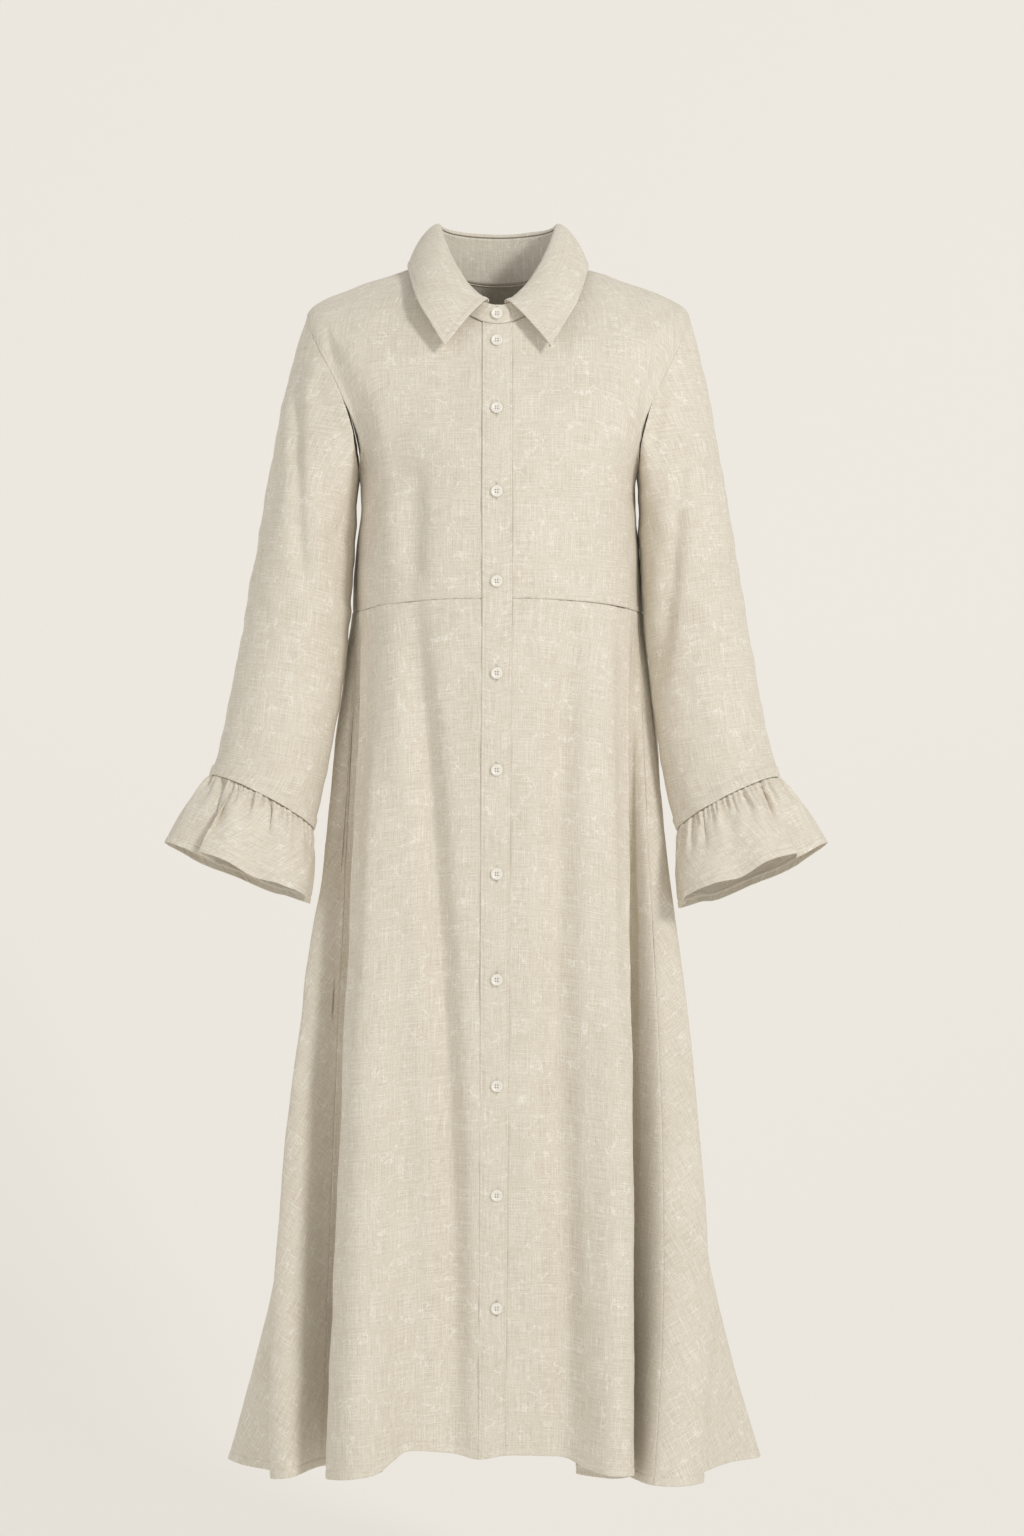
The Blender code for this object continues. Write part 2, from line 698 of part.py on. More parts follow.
def ruffle_point(side, degrees, down):
    """Place on a ruffle: degrees round the cuff seam, down from 0 to 1."""
    rows = RUFFLES[side]
    starts = table_column(rows, RUFFLE_COLUMNS, "seam_deg")
    ends = table_column(rows, RUFFLE_COLUMNS, "hem_deg")
    shifts = [end - start for start, end in zip(starts, ends)]
    number = max(index for index, start in enumerate(starts) if start <= degrees)
    following = (starts + [starts[0] + 360])[number + 1]
    place = number + (degrees - starts[number]) / (following - starts[number])
    hem_deg = degrees + curve_value(shifts, place, closed=True)
    reach = curve_value(table_column(rows, RUFFLE_COLUMNS, "reach"), place, closed=True)
    drop = curve_value(table_column(rows, RUFFLE_COLUMNS, "drop"), place, closed=True)
    hem = RUFFLE_HEM[side]
    outer_x, outer_z = hem["outer"]
    half_width = math.hypot(outer_x, outer_z)
    cosine = math.cos(math.radians(hem_deg))
    sine = math.sin(math.radians(hem_deg))
    wide = Vector((outer_x, 0, outer_z)) * (1 + reach / half_width)
    deep = Vector((0, -1, CUFF_PITCH)) * (hem["half_depth"] + reach)
    end = Vector(hem["centre"]) + wide * cosine + deep * sine - Vector((0, 0, drop))
    seam_place = len(SLEEVES[side]) - 1
    start = sleeve_section(side, seam_place, degrees)
    middle = (sleeve_section(side, seam_place, 0) + sleeve_section(side, seam_place, 180)) / 2
    outward = (start - middle).normalized()
    belly = RUFFLE_BELLY * math.sin(math.pi * down)
    ripple = math.cos(math.radians(degrees * GATHERS)) * GATHER_HEIGHT * gather_strength(down)
    return start + (end - start) * down + outward * (belly + ripple)


def gather_strength(down):
    """Gathers are low on the seam, stand highest just under it and fade out lower down."""
    rise = GATHER_AT_SEAM + (1 - GATHER_AT_SEAM) * smooth_step(down / GATHER_FULL)
    return rise * (1 - smooth_step((down - GATHER_FULL) / (GATHER_END - GATHER_FULL)))


def ruffle(side, material):
    count = GATHERS * COLUMNS_PER_GATHER
    grid = [[ruffle_point(side, 360 * column / count, down) for column in range(count)]
            for down in RUFFLE_DOWNS]
    centre = Vector(RUFFLE_HEM[side]["centre"])
    cloth_solid(f"ruffle_{side}", grid, lambda point: Vector((centre.x, centre.y, point.z)),
                material, closed=True, trim=0.0)


def fold_line(degrees):
    """The collar's fold line, at the top of the stand. 0 degrees is the front."""
    sine = math.sin(math.radians(degrees))
    cosine = math.cos(math.radians(degrees))
    forward = cosine > 0
    reach = FOLD_FRONT_Y if forward else FOLD_BACK_Y
    end_z = FOLD_FRONT_Z if forward else FOLD_BACK_Z
    rise = abs(cosine) ** HEIGHT_ROUNDING
    z = FOLD_SIDE_Z + (end_z - FOLD_SIDE_Z) * rise
    return Vector((FOLD_HALF_WIDTH * sine, -reach * cosine, z))


def lap_out(degrees):
    """How far the stand's right end stands out at the front, where it laps the left end."""
    return STAND_LAP * (1 - smooth_step((-degrees - STAND_LAP_ENDS) / STAND_LAP_FADE))


def horizontal(degrees):
    return Vector((math.sin(math.radians(degrees)), -math.cos(math.radians(degrees)), 0))


def stand_point(degrees, height):
    """Place on the stand. height is 0 at the neck seam and 1 at the fold line."""
    bottom = body_point(float(NECK), degrees)
    top = fold_line(degrees)
    return bottom + (top - bottom) * height + horizontal(degrees) * lap_out(degrees)


def neck_turns():
    """Columns shared by the stand and the fall, from the right point round the back."""
    round_the_back = spread(*NECK_TURNS, NECK_COLUMNS)
    return list(RIGHT_POINT_TURNS) + round_the_back + list(LEFT_POINT_TURNS)


def collar_stand(material):
    """A strip round the neck whose right end laps over its left end at the front."""
    angles = [turn for turn, _ in STAND_END] + neck_turns() + list(UNDER_LAP_TURNS)
    tops = [top for _, top in STAND_END] + [1.0] * (len(angles) - len(STAND_END))
    grid = []
    for row in range(STAND_ROWS + 1):
        cells = []
        for angle, top in zip(angles, tops):
            floor = STAND_FLOOR if angle > NECK_TURNS[1] else UNDER_LAP_FLOOR
            height = floor + (top * STAND_CEILING - floor) * row / STAND_ROWS
            cells.append(stand_point(angle, height))
        grid.append(cells)
    cloth_solid("collar_stand", grid, lambda point: Vector((0, 0, point.z)), material,
                wall=COLLAR_WALL, trim=0.0)


def fall_point(degrees, share):
    """Place on the fall: share is 0 at the fold line and 1 at its outer edge."""
    row = table_values(FALL_EDGE, FALL_COLUMNS, fall_place(degrees))
    edge = Vector((row["x"], row["y"], row["z"]))
    if degrees > 0:
        edge.x = -edge.x
    outward = horizontal(degrees)
    lap = lap_out(degrees) if degrees < 0 else 0.0
    along = fold_line(degrees - 1) - fold_line(degrees + 1)
    rise = outward.cross(along).normalized()
    rise *= math.copysign(1, rise.z)
    start = fold_line(degrees) + outward * (lap - COLLAR_WALL) + rise * SEAM_GAP
    rise *= ROLL_HEIGHT
    second = start + rise + outward * ROLL_LEAN
    third = start + (edge - start) * FALL_TURN + outward * FALL_BULGE + rise
    rest = 1 - share
    return (start * rest ** 3 + second * 3 * rest * rest * share
            + third * 3 * rest * share * share + edge * share ** 3)


def fall_place(degrees):
    """Place in the fall table for an angle, the same on both sides."""
    target = -abs(degrees)
    angles = table_column(FALL_EDGE, FALL_COLUMNS, "fold_deg")
    for number in range(len(angles) - 1):
        if angles[number] >= target >= angles[number + 1]:
            return number + (angles[number] - target) / (angles[number] - angles[number + 1])
    return 0.0


def collar(material):
    turns = [turn if turn >= -180 else turn + 360 for turn in neck_turns()]
    grid = [[fall_point(angle, share) for angle in turns] for share in FALL_SHARES]
    cloth_solid("collar", grid, lambda point: Vector((0, 0, point.z - 60)), material,
                wall=COLLAR_WALL, trim=0.0)


def level_at_front(z):
    """Level whose front centre is at a height."""
    low, high = 0.0, float(NECK)
    for _ in range(40):
        middle = (low + high) / 2
        if ring_at(middle)["front_z"] < z:
            low = middle
        else:
            high = middle
    return (low + high) / 2


def button_seat(z):
    """Centre and outward direction of a button at a height on the band or stand."""
    waist = body_point(0, 0).z
    if z > ring_at(NECK)["front_z"]:
        neck = body_point(float(NECK), 0)
        top = fold_line(0)
        share = (z - neck.z) / (top.z - neck.z)
        point = stand_point(0, share)
        above = stand_point(0, share + 0.1)
    elif z > waist:
        level = level_at_front(z)
        point = band_point(0, level)
        above = band_point(0, min(level + 0.05, 9.0))
    else:
        hem = skirt_point(BAND_ROW + 0.5, 1).z
        down = (waist - z) / (waist - hem)
        point = band_point(0, -down)
        above = band_point(0, -down + 0.02)
    rise = (above - point).normalized()
    outward = Vector((1, 0, 0)).cross(rise).normalized()
    if outward.y > 0:
        outward = -outward
    point.x = BUTTON_X
    return point, outward, rise


def button(number, z, material):
    """A round button with a raised rim, turned from its profile."""
    point, outward, rise = button_seat(z)
    side = outward.cross(rise).normalized()
    base = point + outward * BUTTON_GAP
    vertices = []
    faces = []
    for radius, height in BUTTON_PROFILE:
        for turn in range(BUTTON_SIDES):
            angle = 2 * math.pi * turn / BUTTON_SIDES
            across = side * math.cos(angle) * radius + rise * math.sin(angle) * radius
            vertices.append((base + across + outward * height) * MM)
    loops = len(BUTTON_PROFILE)
    for loop in range(loops - 1):
        for turn in range(BUTTON_SIDES):
            following = (turn + 1) % BUTTON_SIDES
            faces.append([loop * BUTTON_SIDES + turn, (loop + 1) * BUTTON_SIDES + turn,
                          (loop + 1) * BUTTON_SIDES + following, loop * BUTTON_SIDES + following])
    faces.append(list(range(BUTTON_SIDES)))
    faces.append([(loops - 1) * BUTTON_SIDES + turn for turn in reversed(range(BUTTON_SIDES))])
    mesh = bpy.data.meshes.new(f"button_{number:02d}")
    mesh.from_pydata(vertices, [], faces)
    finish_object(f"button_{number:02d}", mesh, material)


def main():
    clear_scene()
    linen = make_material("linen", LINEN, 0.9)
    ivory = make_material("ivory_button", IVORY, 0.35)
    for side in ("right", "left"):
        front_bodice(side, linen)
        sleeve(side, linen)
        ruffle(side, linen)
    back_bodice(linen)
    skirt_panels(linen)
    button_band(linen)
    collar_stand(linen)
    collar(linen)
    for number, z in enumerate(BUTTON_HEIGHTS, start=1):
        button(number, z, ivory)


main()
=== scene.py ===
"""Long-sleeved linen shirt dress, hollow and in its worn form.

Lengths are in millimetres in the frame's own axes: +Z up, the front faces -Y, the
wearer's left is at +X and the origin is on the centre axis at the height of the
shoulders. Angles are in degrees. Meshes are made in metres.
"""
import math
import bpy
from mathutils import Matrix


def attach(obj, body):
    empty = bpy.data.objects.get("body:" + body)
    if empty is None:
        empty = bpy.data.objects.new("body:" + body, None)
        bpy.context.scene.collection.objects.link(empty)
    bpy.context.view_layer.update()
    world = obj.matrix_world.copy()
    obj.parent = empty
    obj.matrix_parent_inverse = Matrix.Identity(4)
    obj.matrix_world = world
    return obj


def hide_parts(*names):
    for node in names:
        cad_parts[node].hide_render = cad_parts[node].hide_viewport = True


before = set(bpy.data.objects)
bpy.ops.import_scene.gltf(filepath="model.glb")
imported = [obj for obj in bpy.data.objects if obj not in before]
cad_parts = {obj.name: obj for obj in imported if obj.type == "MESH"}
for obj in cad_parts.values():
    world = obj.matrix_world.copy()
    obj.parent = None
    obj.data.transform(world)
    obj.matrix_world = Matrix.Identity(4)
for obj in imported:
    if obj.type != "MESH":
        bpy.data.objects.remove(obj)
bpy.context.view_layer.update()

from types import SimpleNamespace

import bmesh
import bpy
import numpy as np
from mathutils import Matrix, Vector


# Camera
# It stands straight in front of the dress, level with its middle, far enough away
# for the shoulders and the hem to look as wide as they do in the photograph.
CAMERA_PLACE = (0.015, -3.4, -0.538)
VIEW_HEIGHT = 1.659
SENSOR_HEIGHT = 24.0


def add_item(name, data):
    item = bpy.data.objects.new(name, data)
    bpy.context.collection.objects.link(item)
    return item


camera_settings = bpy.data.cameras.new("camera")
camera_settings.sensor_fit = "VERTICAL"
camera_settings.sensor_height = SENSOR_HEIGHT
camera_settings.lens = SENSOR_HEIGHT * abs(CAMERA_PLACE[1]) / VIEW_HEIGHT
camera = add_item("camera", camera_settings)
camera.location = CAMERA_PLACE
camera.rotation_euler = (math.radians(90), 0, 0)
bpy.context.scene.camera = camera


# Back of the bodice
# One panel of oatmeal linen. It runs over the shoulders to a seam in front of the
# ridge, and is sewn to the fronts, the sleeves, the collar stand and the skirt.
MM = 0.001
BODY_COLUMNS = ("side_z", "half_width", "square", "front_y", "front_z", "back_y", "back_z",
                "armhole_x")
BODY_RINGS = (
    ("waist", -370, 148.5, 0.86, 117, -361, 92, -366, 148.5),
    ("ribs", -300, 148, 0.86, 123, -294, 98, -297, 148),
    ("armpit", -222, 150, 0.86, 124, -220, 104, -218, 150),
    ("chest", -180, 180, 0.86, 118, -188, 106, -176, 156),
    ("mid armhole", -130, 200, 0.86, 109, -155, 103, -126, 170),
    ("upper armhole", -85, 208, 0.86, 101, -130, 97, -82, 189),
    ("shoulder tip", -50, 206, 0.86, 95, -112, 90, -50, 204),
    ("shoulder edge", -33, 187, 0.88, 91, -102, 86, -38, 187),
    ("mid shoulder", -18, 150, 0.92, 88, -92, 80, -28, 150),
    ("neck", 8, 74, 1.0, 82, -70, 62, -8, 74),
)
ARMPIT = 2.0
TIP = 6.0
NECK = 9.0
HEIGHT_ROUNDING = 1.6
FOLD_SIDE_SHARE = 0.6
ARMHOLE_STEPS = 12
FOLD_END_FADE = 0.25
BODICE_FOLDS = (
    ("drag by the right armhole", -184, -72, -140, -215, 13, 5.0),
    ("right drag above the waist", -112, -150, -86, -350, 20, 3.0),
    ("ridge between the drags", -128, -160, -112, -340, 16, -2.0),
    ("left drag by the armhole", 176, -92, 138, -215, 14, 3.0),
    ("left drag above the waist", 84, -170, 70, -350, 24, 2.2),
    ("left ridge above the waist", 112, -160, 104, -340, 18, -2.0),
)
SHELL = 1.0
SIDE_FULLNESS = ((-235, 0), (-262, 3.5), (-300, 10.5), (-335, 14.5), (-365, 15), (-392, 14.5),
                 (-420, 13.5), (-450, 13), (-480, 13), (-510, 11.5), (-560, 6), (-610, 1.5), (-660, 0))
LEFT_FULLNESS = 0.9
FULLNESS_CENTRE = 107
FULLNESS_SPREAD = 15
HELD_SHARE = 0.5
HELD_LENGTH = 45
SEAM_WIDTH = 1.0
SEAM_DEPTH = 0.9
SEAM_STEPS = (0.5, 1.1, 1.9, 3.0, 3.9, 4.7, 5.5, 6.3, 7.4)
SEAM_STITCH = 5.5
ARMHOLE_STITCH_LIFT = 0.15
BACK_COLUMNS = 112
BACK_ROWS = 96
BACK_SIZE = (400, 420)
RIDGE_COLUMNS = 5
CREASE_END_FADE = 0.3
BACK_CREASES = (
    ("back", -150, -110, -96, -240, 10, 12, 2.2),
    ("back", 148, -105, 100, -225, -10, 11, 1.8),
    ("back", -60, -190, -48, -352, 4, 16, 1.8),
    ("back", 52, -200, 60, -350, -5, 18, 1.6),
    ("back", -4, -60, 2, -200, 3, 22, 0.8),
    ("back", -104, -250, -118, -350, 0, 12, 1.5),
    ("back", 112, -240, 104, -352, 2, 12, 1.4),
)
LINEN_LIGHT = (0.885, 0.845, 0.762, 1)
LINEN_DARK = (0.56, 0.495, 0.385, 1)
LINEN_RELIEF = 0.5
LINEN_GLOSS = {"Sheen Weight": 0.12, "Sheen Roughness": 0.6, "Specular IOR Level": 0.25}
RELIEF_HEIGHT = 0.0004
YARN_PITCH = 0.52
YARN_NOISES = {
    "warp": ((0.95, 0.028, 1), 2.0),
    "weft": ((0.032, 1.05, 1), 2.0),
    "wrinkle": ((0.062, 0.05, 1), 2.5),
    "patch": ((0.045, 0.06, 1), 1.0),
    "fine warp": ((2.1, 0.16, 1), 1.0),
    "fine weft": ((0.17, 2.2, 1), 1.0),
    "cloud": ((0.011, 0.013, 1), 2.0),
}
YARN_WEIGHTS = {"warp": 0.9, "weft": 0.9, "fine warp": 0.75, "fine weft": 0.75, "cloud": 0.25}
YARN_RANGE = (1.2, 2.25)
SLUB_RANGE = (0.64, 0.76)
WRINKLE_RANGE = (0.022, 0.0)
PATCH_RANGE = (0.48, 0.58)
LINEN_ROUGHNESS = (0.94, 0.8)
WEAVE_SOCKETS = (
    ("Cloth", "INPUT", "Vector"),
    ("Light", "INPUT", "Color"),
    ("Dark", "INPUT", "Color"),
    ("Color", "OUTPUT", "Color"),
    ("Height", "OUTPUT", "Float"),
    ("Roughness", "OUTPUT", "Float"),
)


def curve_value(values, place, closed=False):
    """Catmull-Rom values at places along evenly numbered values."""
    values = np.asarray(values, dtype=float)
    place = np.asarray(place, dtype=float)
    count = len(values)
    start = np.floor(place).astype(int)
    if not closed:
        start = np.clip(start, 0, count - 2)
    part = place - start

    def pick(number):
        return values[number % count] if closed else values[np.clip(number, 0, count - 1)]

    before, first, second, after = (pick(start + step) for step in (-1, 0, 1, 2))
    slope_in = (second - before) / 2
    slope_out = (after - first) / 2
    part2 = part * part
    part3 = part2 * part
    return ((2 * part3 - 3 * part2 + 1) * first + (part3 - 2 * part2 + part) * slope_in
            + (3 * part2 - 2 * part3) * second + (part3 - part2) * slope_out)


def table_column(rows, names, name):
    index = names.index(name) + 1
    return [row[index] for row in rows]


def table_values(rows, names, place, closed=False):
    """Every column of a table of named rows, read at places between its rows."""
    return {name: curve_value(table_column(rows, names, name), place, closed)
            for name in names}


def smooth_step(value):
    value = np.clip(value, 0.0, 1.0)
    return value * value * (3 - 2 * value)


def power(value, exponent):
    return np.copysign(np.abs(value) ** exponent, value)


def unit(vectors):
    return vectors / np.maximum(np.linalg.norm(vectors, axis=-1, keepdims=True), 1e-9)


def stack(x, y, z):
    return np.stack(np.broadcast_arrays(x, y, z), axis=-1)


def cos_sin(degrees):
    return np.cos(np.radians(degrees)), np.sin(np.radians(degrees))


def beside_line(x, z, x0, z0, x1, z1, end_fade):
    """How far along a line and beside it places lie, and a fade at the line's ends."""
    along_x = x1 - x0
    along_z = z1 - z0
    length = math.hypot(along_x, along_z)
    share = ((x - x0) * along_x + (z - z0) * along_z) / length ** 2
    away = ((x - x0) * along_z - (z - z0) * along_x) / length
    return share, away, smooth_step(share / end_fade) * smooth_step((1 - share) / end_fade)


def ring_at(level):
    return table_values(BODY_RINGS, BODY_COLUMNS, level)


def fold_depth(x, z):
    """How far the bodice's soft folds sink at places on its front."""
    total = np.zeros(np.shape(x))
    for _, x0, z0, x1, z1, spread, depth in BODICE_FOLDS:
        _, away, fade = beside_line(x, z, x0, z0, x1, z1, FOLD_END_FADE)
        total += depth * fade * np.exp(-((away / spread) ** 2))
    return total


def body_surface(level, degrees, lift=0.0):
    """Places on the bodice. 0 degrees is the front centre, 90 the wearer's left side."""
    level, degrees = np.broadcast_arrays(np.asarray(level, float), np.asarray(degrees, float))
    ring = ring_at(level)
    cosine, sine = cos_sin(degrees)
    forward = cosine > 0
    x = ring["half_width"] * power(sine, ring["square"])
    y = -np.where(forward, ring["front_y"], ring["back_y"]) * power(cosine, ring["square"])
    middle_z = np.where(forward, ring["front_z"], ring["back_z"])
    z = ring["side_z"] + (middle_z - ring["side_z"]) * np.abs(cosine) ** HEIGHT_ROUNDING
    sunk = np.where(forward, fold_depth(x, z) * np.clip(cosine * 2, 0, 1), 0.0)
    outward = unit(stack(np.where(forward, sine * FOLD_SIDE_SHARE, sine), -cosine, 0.0))
    return stack(x, y, z) + outward * (lift - sunk)[..., None]


def degrees_at_x(level, x):
    ring = ring_at(level)
    share = np.minimum(np.abs(x) / ring["half_width"], 1.0)
    return np.copysign(np.degrees(np.arcsin(share ** (1 / ring["square"]))), x)


def armhole_degrees(level):
    return degrees_at_x(level, ring_at(level)["armhole_x"])


def front_end(level):
    """Angle where a front ends: the side seam below the armpit, then the armhole."""
    return np.where(np.asarray(level) <= ARMPIT, 90.0, armhole_degrees(np.minimum(level, TIP)))


def body_axis(points):
    return points * np.array((0.2, 0.0, 1.0))


def measure(points, inside, closed=False):
    """A grid of cloth with its normals and how far each point is from each edge.

    Its top is its first row, which is the waist on the pieces of the bodice.
    """
    across = np.linalg.norm(np.roll(points, -1, axis=1) - points, axis=2)
    along = np.concatenate([np.zeros((len(points), 1)), np.cumsum(across, axis=1)], axis=1)
    width = along[:, -1:] if closed else along[:, -2:-1]
    fall = np.linalg.norm(np.diff(points, axis=0), axis=2)
    down = np.concatenate([np.zeros((1, points.shape[1])), np.cumsum(fall, axis=0)])
    if closed:
        sideways = np.roll(points, -1, axis=1) - np.roll(points, 1, axis=1)
    else:
        sideways = np.gradient(points, axis=1)
    normals = unit(np.cross(sideways, np.gradient(points, axis=0)))
    turn = 1.0 if np.sum(normals * (points - inside(points))) > 0 else -1.0
    first = along[:, :-1]
    return SimpleNamespace(points=points, normals=normals * turn, turn=turn, closed=closed,
                           from_first=first, from_last=width - first, from_top=down,
                           from_bottom=down[-1:] - down, width=width, around=width,
                           thread=first if closed else first - width / 2, drop=down)


def lay_fan(cloth, from_centre):
    """Lays a flared panel out flat, with its threads straight down at its centre line."""
    spread = (cloth.width[-1, 0] - cloth.width[0, 0]) / np.mean(cloth.from_top[-1])
    start = cloth.width[0, 0] / spread
    angle = spread * from_centre / cloth.width
    cloth.thread = (start + cloth.from_top) * np.sin(angle)
    cloth.drop = (start + cloth.from_top) * np.cos(angle) - start


def lay_upright(cloth, anchor):
    """Lays a bodice panel's threads out level, from its anchor column, and straight down."""
    level_steps = np.linalg.norm(np.diff(cloth.points[..., :2], axis=1), axis=2)
    rise_steps = np.linalg.norm(np.diff(cloth.points[..., 1:], axis=0), axis=2)
    thread = np.pad(np.cumsum(level_steps, axis=1), ((0, 0), (1, 0)))
    cloth.thread = thread - thread[:, anchor:anchor + 1]
    cloth.drop = -cloth.points[:1, :, 2] - np.pad(np.cumsum(rise_steps, axis=0), ((1, 0), (0, 0)))


def fine_steps(count, length, near_first=(), near_last=()):
    """Even shares from 0 to 1, with more of them at distances from either end."""
    shares = set(np.linspace(0, 1, count))
    shares.update(near / length for near in near_first)
    shares.update(1 - near / length for near in near_last)
    return np.array(sorted(shares))


def press(cloth, depth):
    cloth.points = cloth.points + cloth.normals * depth[..., None]


def seam(distance, depth=SEAM_DEPTH, width=SEAM_WIDTH):
    """The dip where two pieces are sewn together, edge to edge."""
    return -depth * np.exp(-((distance / width) ** 2))


def topstitch(distance, place, lift=0.3, groove=0.5):
    """A turned edge, doubled out to its line of stitches, which pull the cloth in."""
    doubled = lift * smooth_step((place - distance) / 1.2 + 0.5)
    return doubled - groove * np.exp(-(((distance - place) / 1.0) ** 2))


def armhole_stitch(distance, levels):
    """The stitched edge of a piece of the bodice, above the armpit."""
    above = smooth_step((levels - ARMPIT) * 4)
    return topstitch(distance, SEAM_STITCH, ARMHOLE_STITCH_LIFT) * above


def held(distance):
    """Share of a fold's depth that a seam at this distance leaves."""
    return HELD_SHARE + (1 - HELD_SHARE) * smooth_step(distance / HELD_LENGTH)


def side_fullness(z, degrees):
    """How far slack cloth under the arms and beside the waist stands out."""
    heights = [-row[0] for row in SIDE_FULLNESS]
    amount = np.interp(-z, heights, [row[1] for row in SIDE_FULLNESS])
    around = (degrees + 180) % 360 - 180
    share = np.where(around < 0, 1.0, LEFT_FULLNESS)
    return amount * share * np.exp(-(((np.abs(around) - FULLNESS_CENTRE) / FULLNESS_SPREAD) ** 2))


def uneven(x, z, size, seed):
    """Soft unevenness between about -1 and 1 whose largest waves are size long."""
    numbers = np.random.default_rng(seed)
    bent_x = x + size * 0.22 * np.sin(2 * math.pi * z / (size * 1.9) + seed)
    bent_z = z + size * 0.22 * np.sin(2 * math.pi * x / (size * 2.3) + 2 * seed)
    total = np.zeros(np.shape(x))
    for _ in range(8):
        angle = numbers.uniform(0, math.pi)
        wave = size * numbers.uniform(0.5, 1.3)
        turn = 2 * math.pi * (bent_x * math.cos(angle) + bent_z * math.sin(angle)) / wave
        total += np.sin(turn + numbers.uniform(0, 2 * math.pi))
    return total / 3


def waves(cloth, *rows):
    """Unevenness over a cloth, by rows of height, size, seed and share of its z."""
    x = cloth.points[..., 0]
    z = cloth.points[..., 2]
    return sum(height * uneven(x, z * tall, size, seed) for height, size, seed, tall in rows)


def puckers(along, away, pitch, height, reach, seed):
    """Small ripples that a seam or a gathered edge sends into the cloth beside it."""
    shift = uneven(along, away * 0.3, pitch * 3, seed)
    size = 0.6 + 0.4 * uneven(along, away * 0.1, pitch * 5, seed + 1)
    return height * size * np.sin(2 * math.pi * along / pitch + 2.2 * shift) * np.exp(-away / reach)


def creases(cloth, rows):
    """Listed folds, each seen from the front or from the back."""
    x = cloth.points[..., 0]
    z = cloth.points[..., 2]
    facing = {"front": smooth_step(-cloth.normals[..., 1] * 2.5),
              "back": smooth_step(cloth.normals[..., 1] * 2.5)}
    total = np.zeros(np.shape(x))
    for face, x0, z0, x1, z1, bend, half_width, depth in rows:
        share, away, fade = beside_line(x, z, x0, z0, x1, z1, CREASE_END_FADE)
        reach = (away - bend * 4 * share * (1 - share)) / half_width
        profile = (1 - 0.5 * reach ** 2) * np.exp(-(reach ** 2) / 1.6)
        total -= depth * fade * profile * facing[face]
    return total


def quads(grid):
    """The values at the four corners of each face of a grid."""
    corners = (grid[:-1, :-1], grid[:-1, 1:], grid[1:, 1:], grid[1:, :-1])
    return np.stack(corners, axis=2).reshape(-1, 4, *grid.shape[2:])


def make_shell(name, cloth, thickness=SHELL, shown=None):
    """A closed shell of cloth from its outer grid, with its threads laid out as UVs."""
    number = np.arange(cloth.drop.size).reshape(cloth.drop.shape)
    thread = cloth.thread
    drop = cloth.drop
    if cloth.closed:
        number = np.concatenate([number, number[:, :1]], axis=1)
        thread = np.concatenate([thread, cloth.around], axis=1)
        drop = np.concatenate([drop, drop[:, :1]], axis=1)
    faces = quads(number)
    laid = quads(np.stack([thread, -drop], axis=-1) * MM)
    if shown is not None:
        keep = np.all(shown.reshape(-1)[faces], axis=1)
        faces = faces[keep]
        laid = laid[keep]
    if cloth.turn < 0:
        faces = faces[:, ::-1]
        laid = laid[:, ::-1]
    used, faces = np.unique(faces, return_inverse=True)
    mesh = bpy.data.meshes.new(name)
    mesh.from_pydata((cloth.points.reshape(-1, 3)[used] * MM).tolist(), [],
                     faces.reshape(-1, 4).tolist())
    layer = mesh.uv_layers.new(name="cloth")
    layer.data.foreach_set("uv", laid.reshape(-1))
    mesh.shade_smooth()
    item = add_item(name, mesh)
    shell = item.modifiers.new("shell", "SOLIDIFY")
    shell.thickness = thickness * MM
    shell.offset = -1
    return item


def feed(tree, node, inputs):
    """Links or sets a node's inputs, given by socket name or number."""
    for socket, source in inputs.items():
        if isinstance(source, bpy.types.NodeSocket):
            tree.links.new(source, node.inputs[socket])
        else:
            node.inputs[socket].default_value = source
    return node


def add_node(tree, kind, inputs=None, **settings):
    """A shader node with its settings and its inputs."""
    node = tree.nodes.new(kind)
    for key, value in settings.items():
        setattr(node, key, value)
    return feed(tree, node, inputs or {})


def math_node(tree, operation, first, second=0.0):
    return add_node(tree, "ShaderNodeMath", {0: first, 1: second}, operation=operation).outputs[0]


def map_range(tree, value, given, wanted=(0.0, 1.0)):
    """A value moved from a given range into the wanted one, and held within it."""
    inputs = {"Value": value, "From Min": given[0], "From Max": given[1],
              "To Min": wanted[0], "To Max": wanted[1]}
    return add_node(tree, "ShaderNodeMapRange", inputs).outputs[0]


def noise_value(tree, place, scale, detail, rough=0.5):
    inputs = {"Vector": place, "Scale": scale, "Detail": detail, "Roughness": rough}
    return add_node(tree, "ShaderNodeTexNoise", inputs).outputs["Fac"]


def scaled(tree, place, scale):
    inputs = {0: place, 1: scale}
    return add_node(tree, "ShaderNodeVectorMath", inputs, operation="MULTIPLY").outputs[0]


def new_material(name):
    """A material, its node tree and its main shader."""
    material = bpy.data.materials.new(name)
    material.use_nodes = True
    tree = material.node_tree
    return material, tree, tree.nodes["Principled BSDF"]


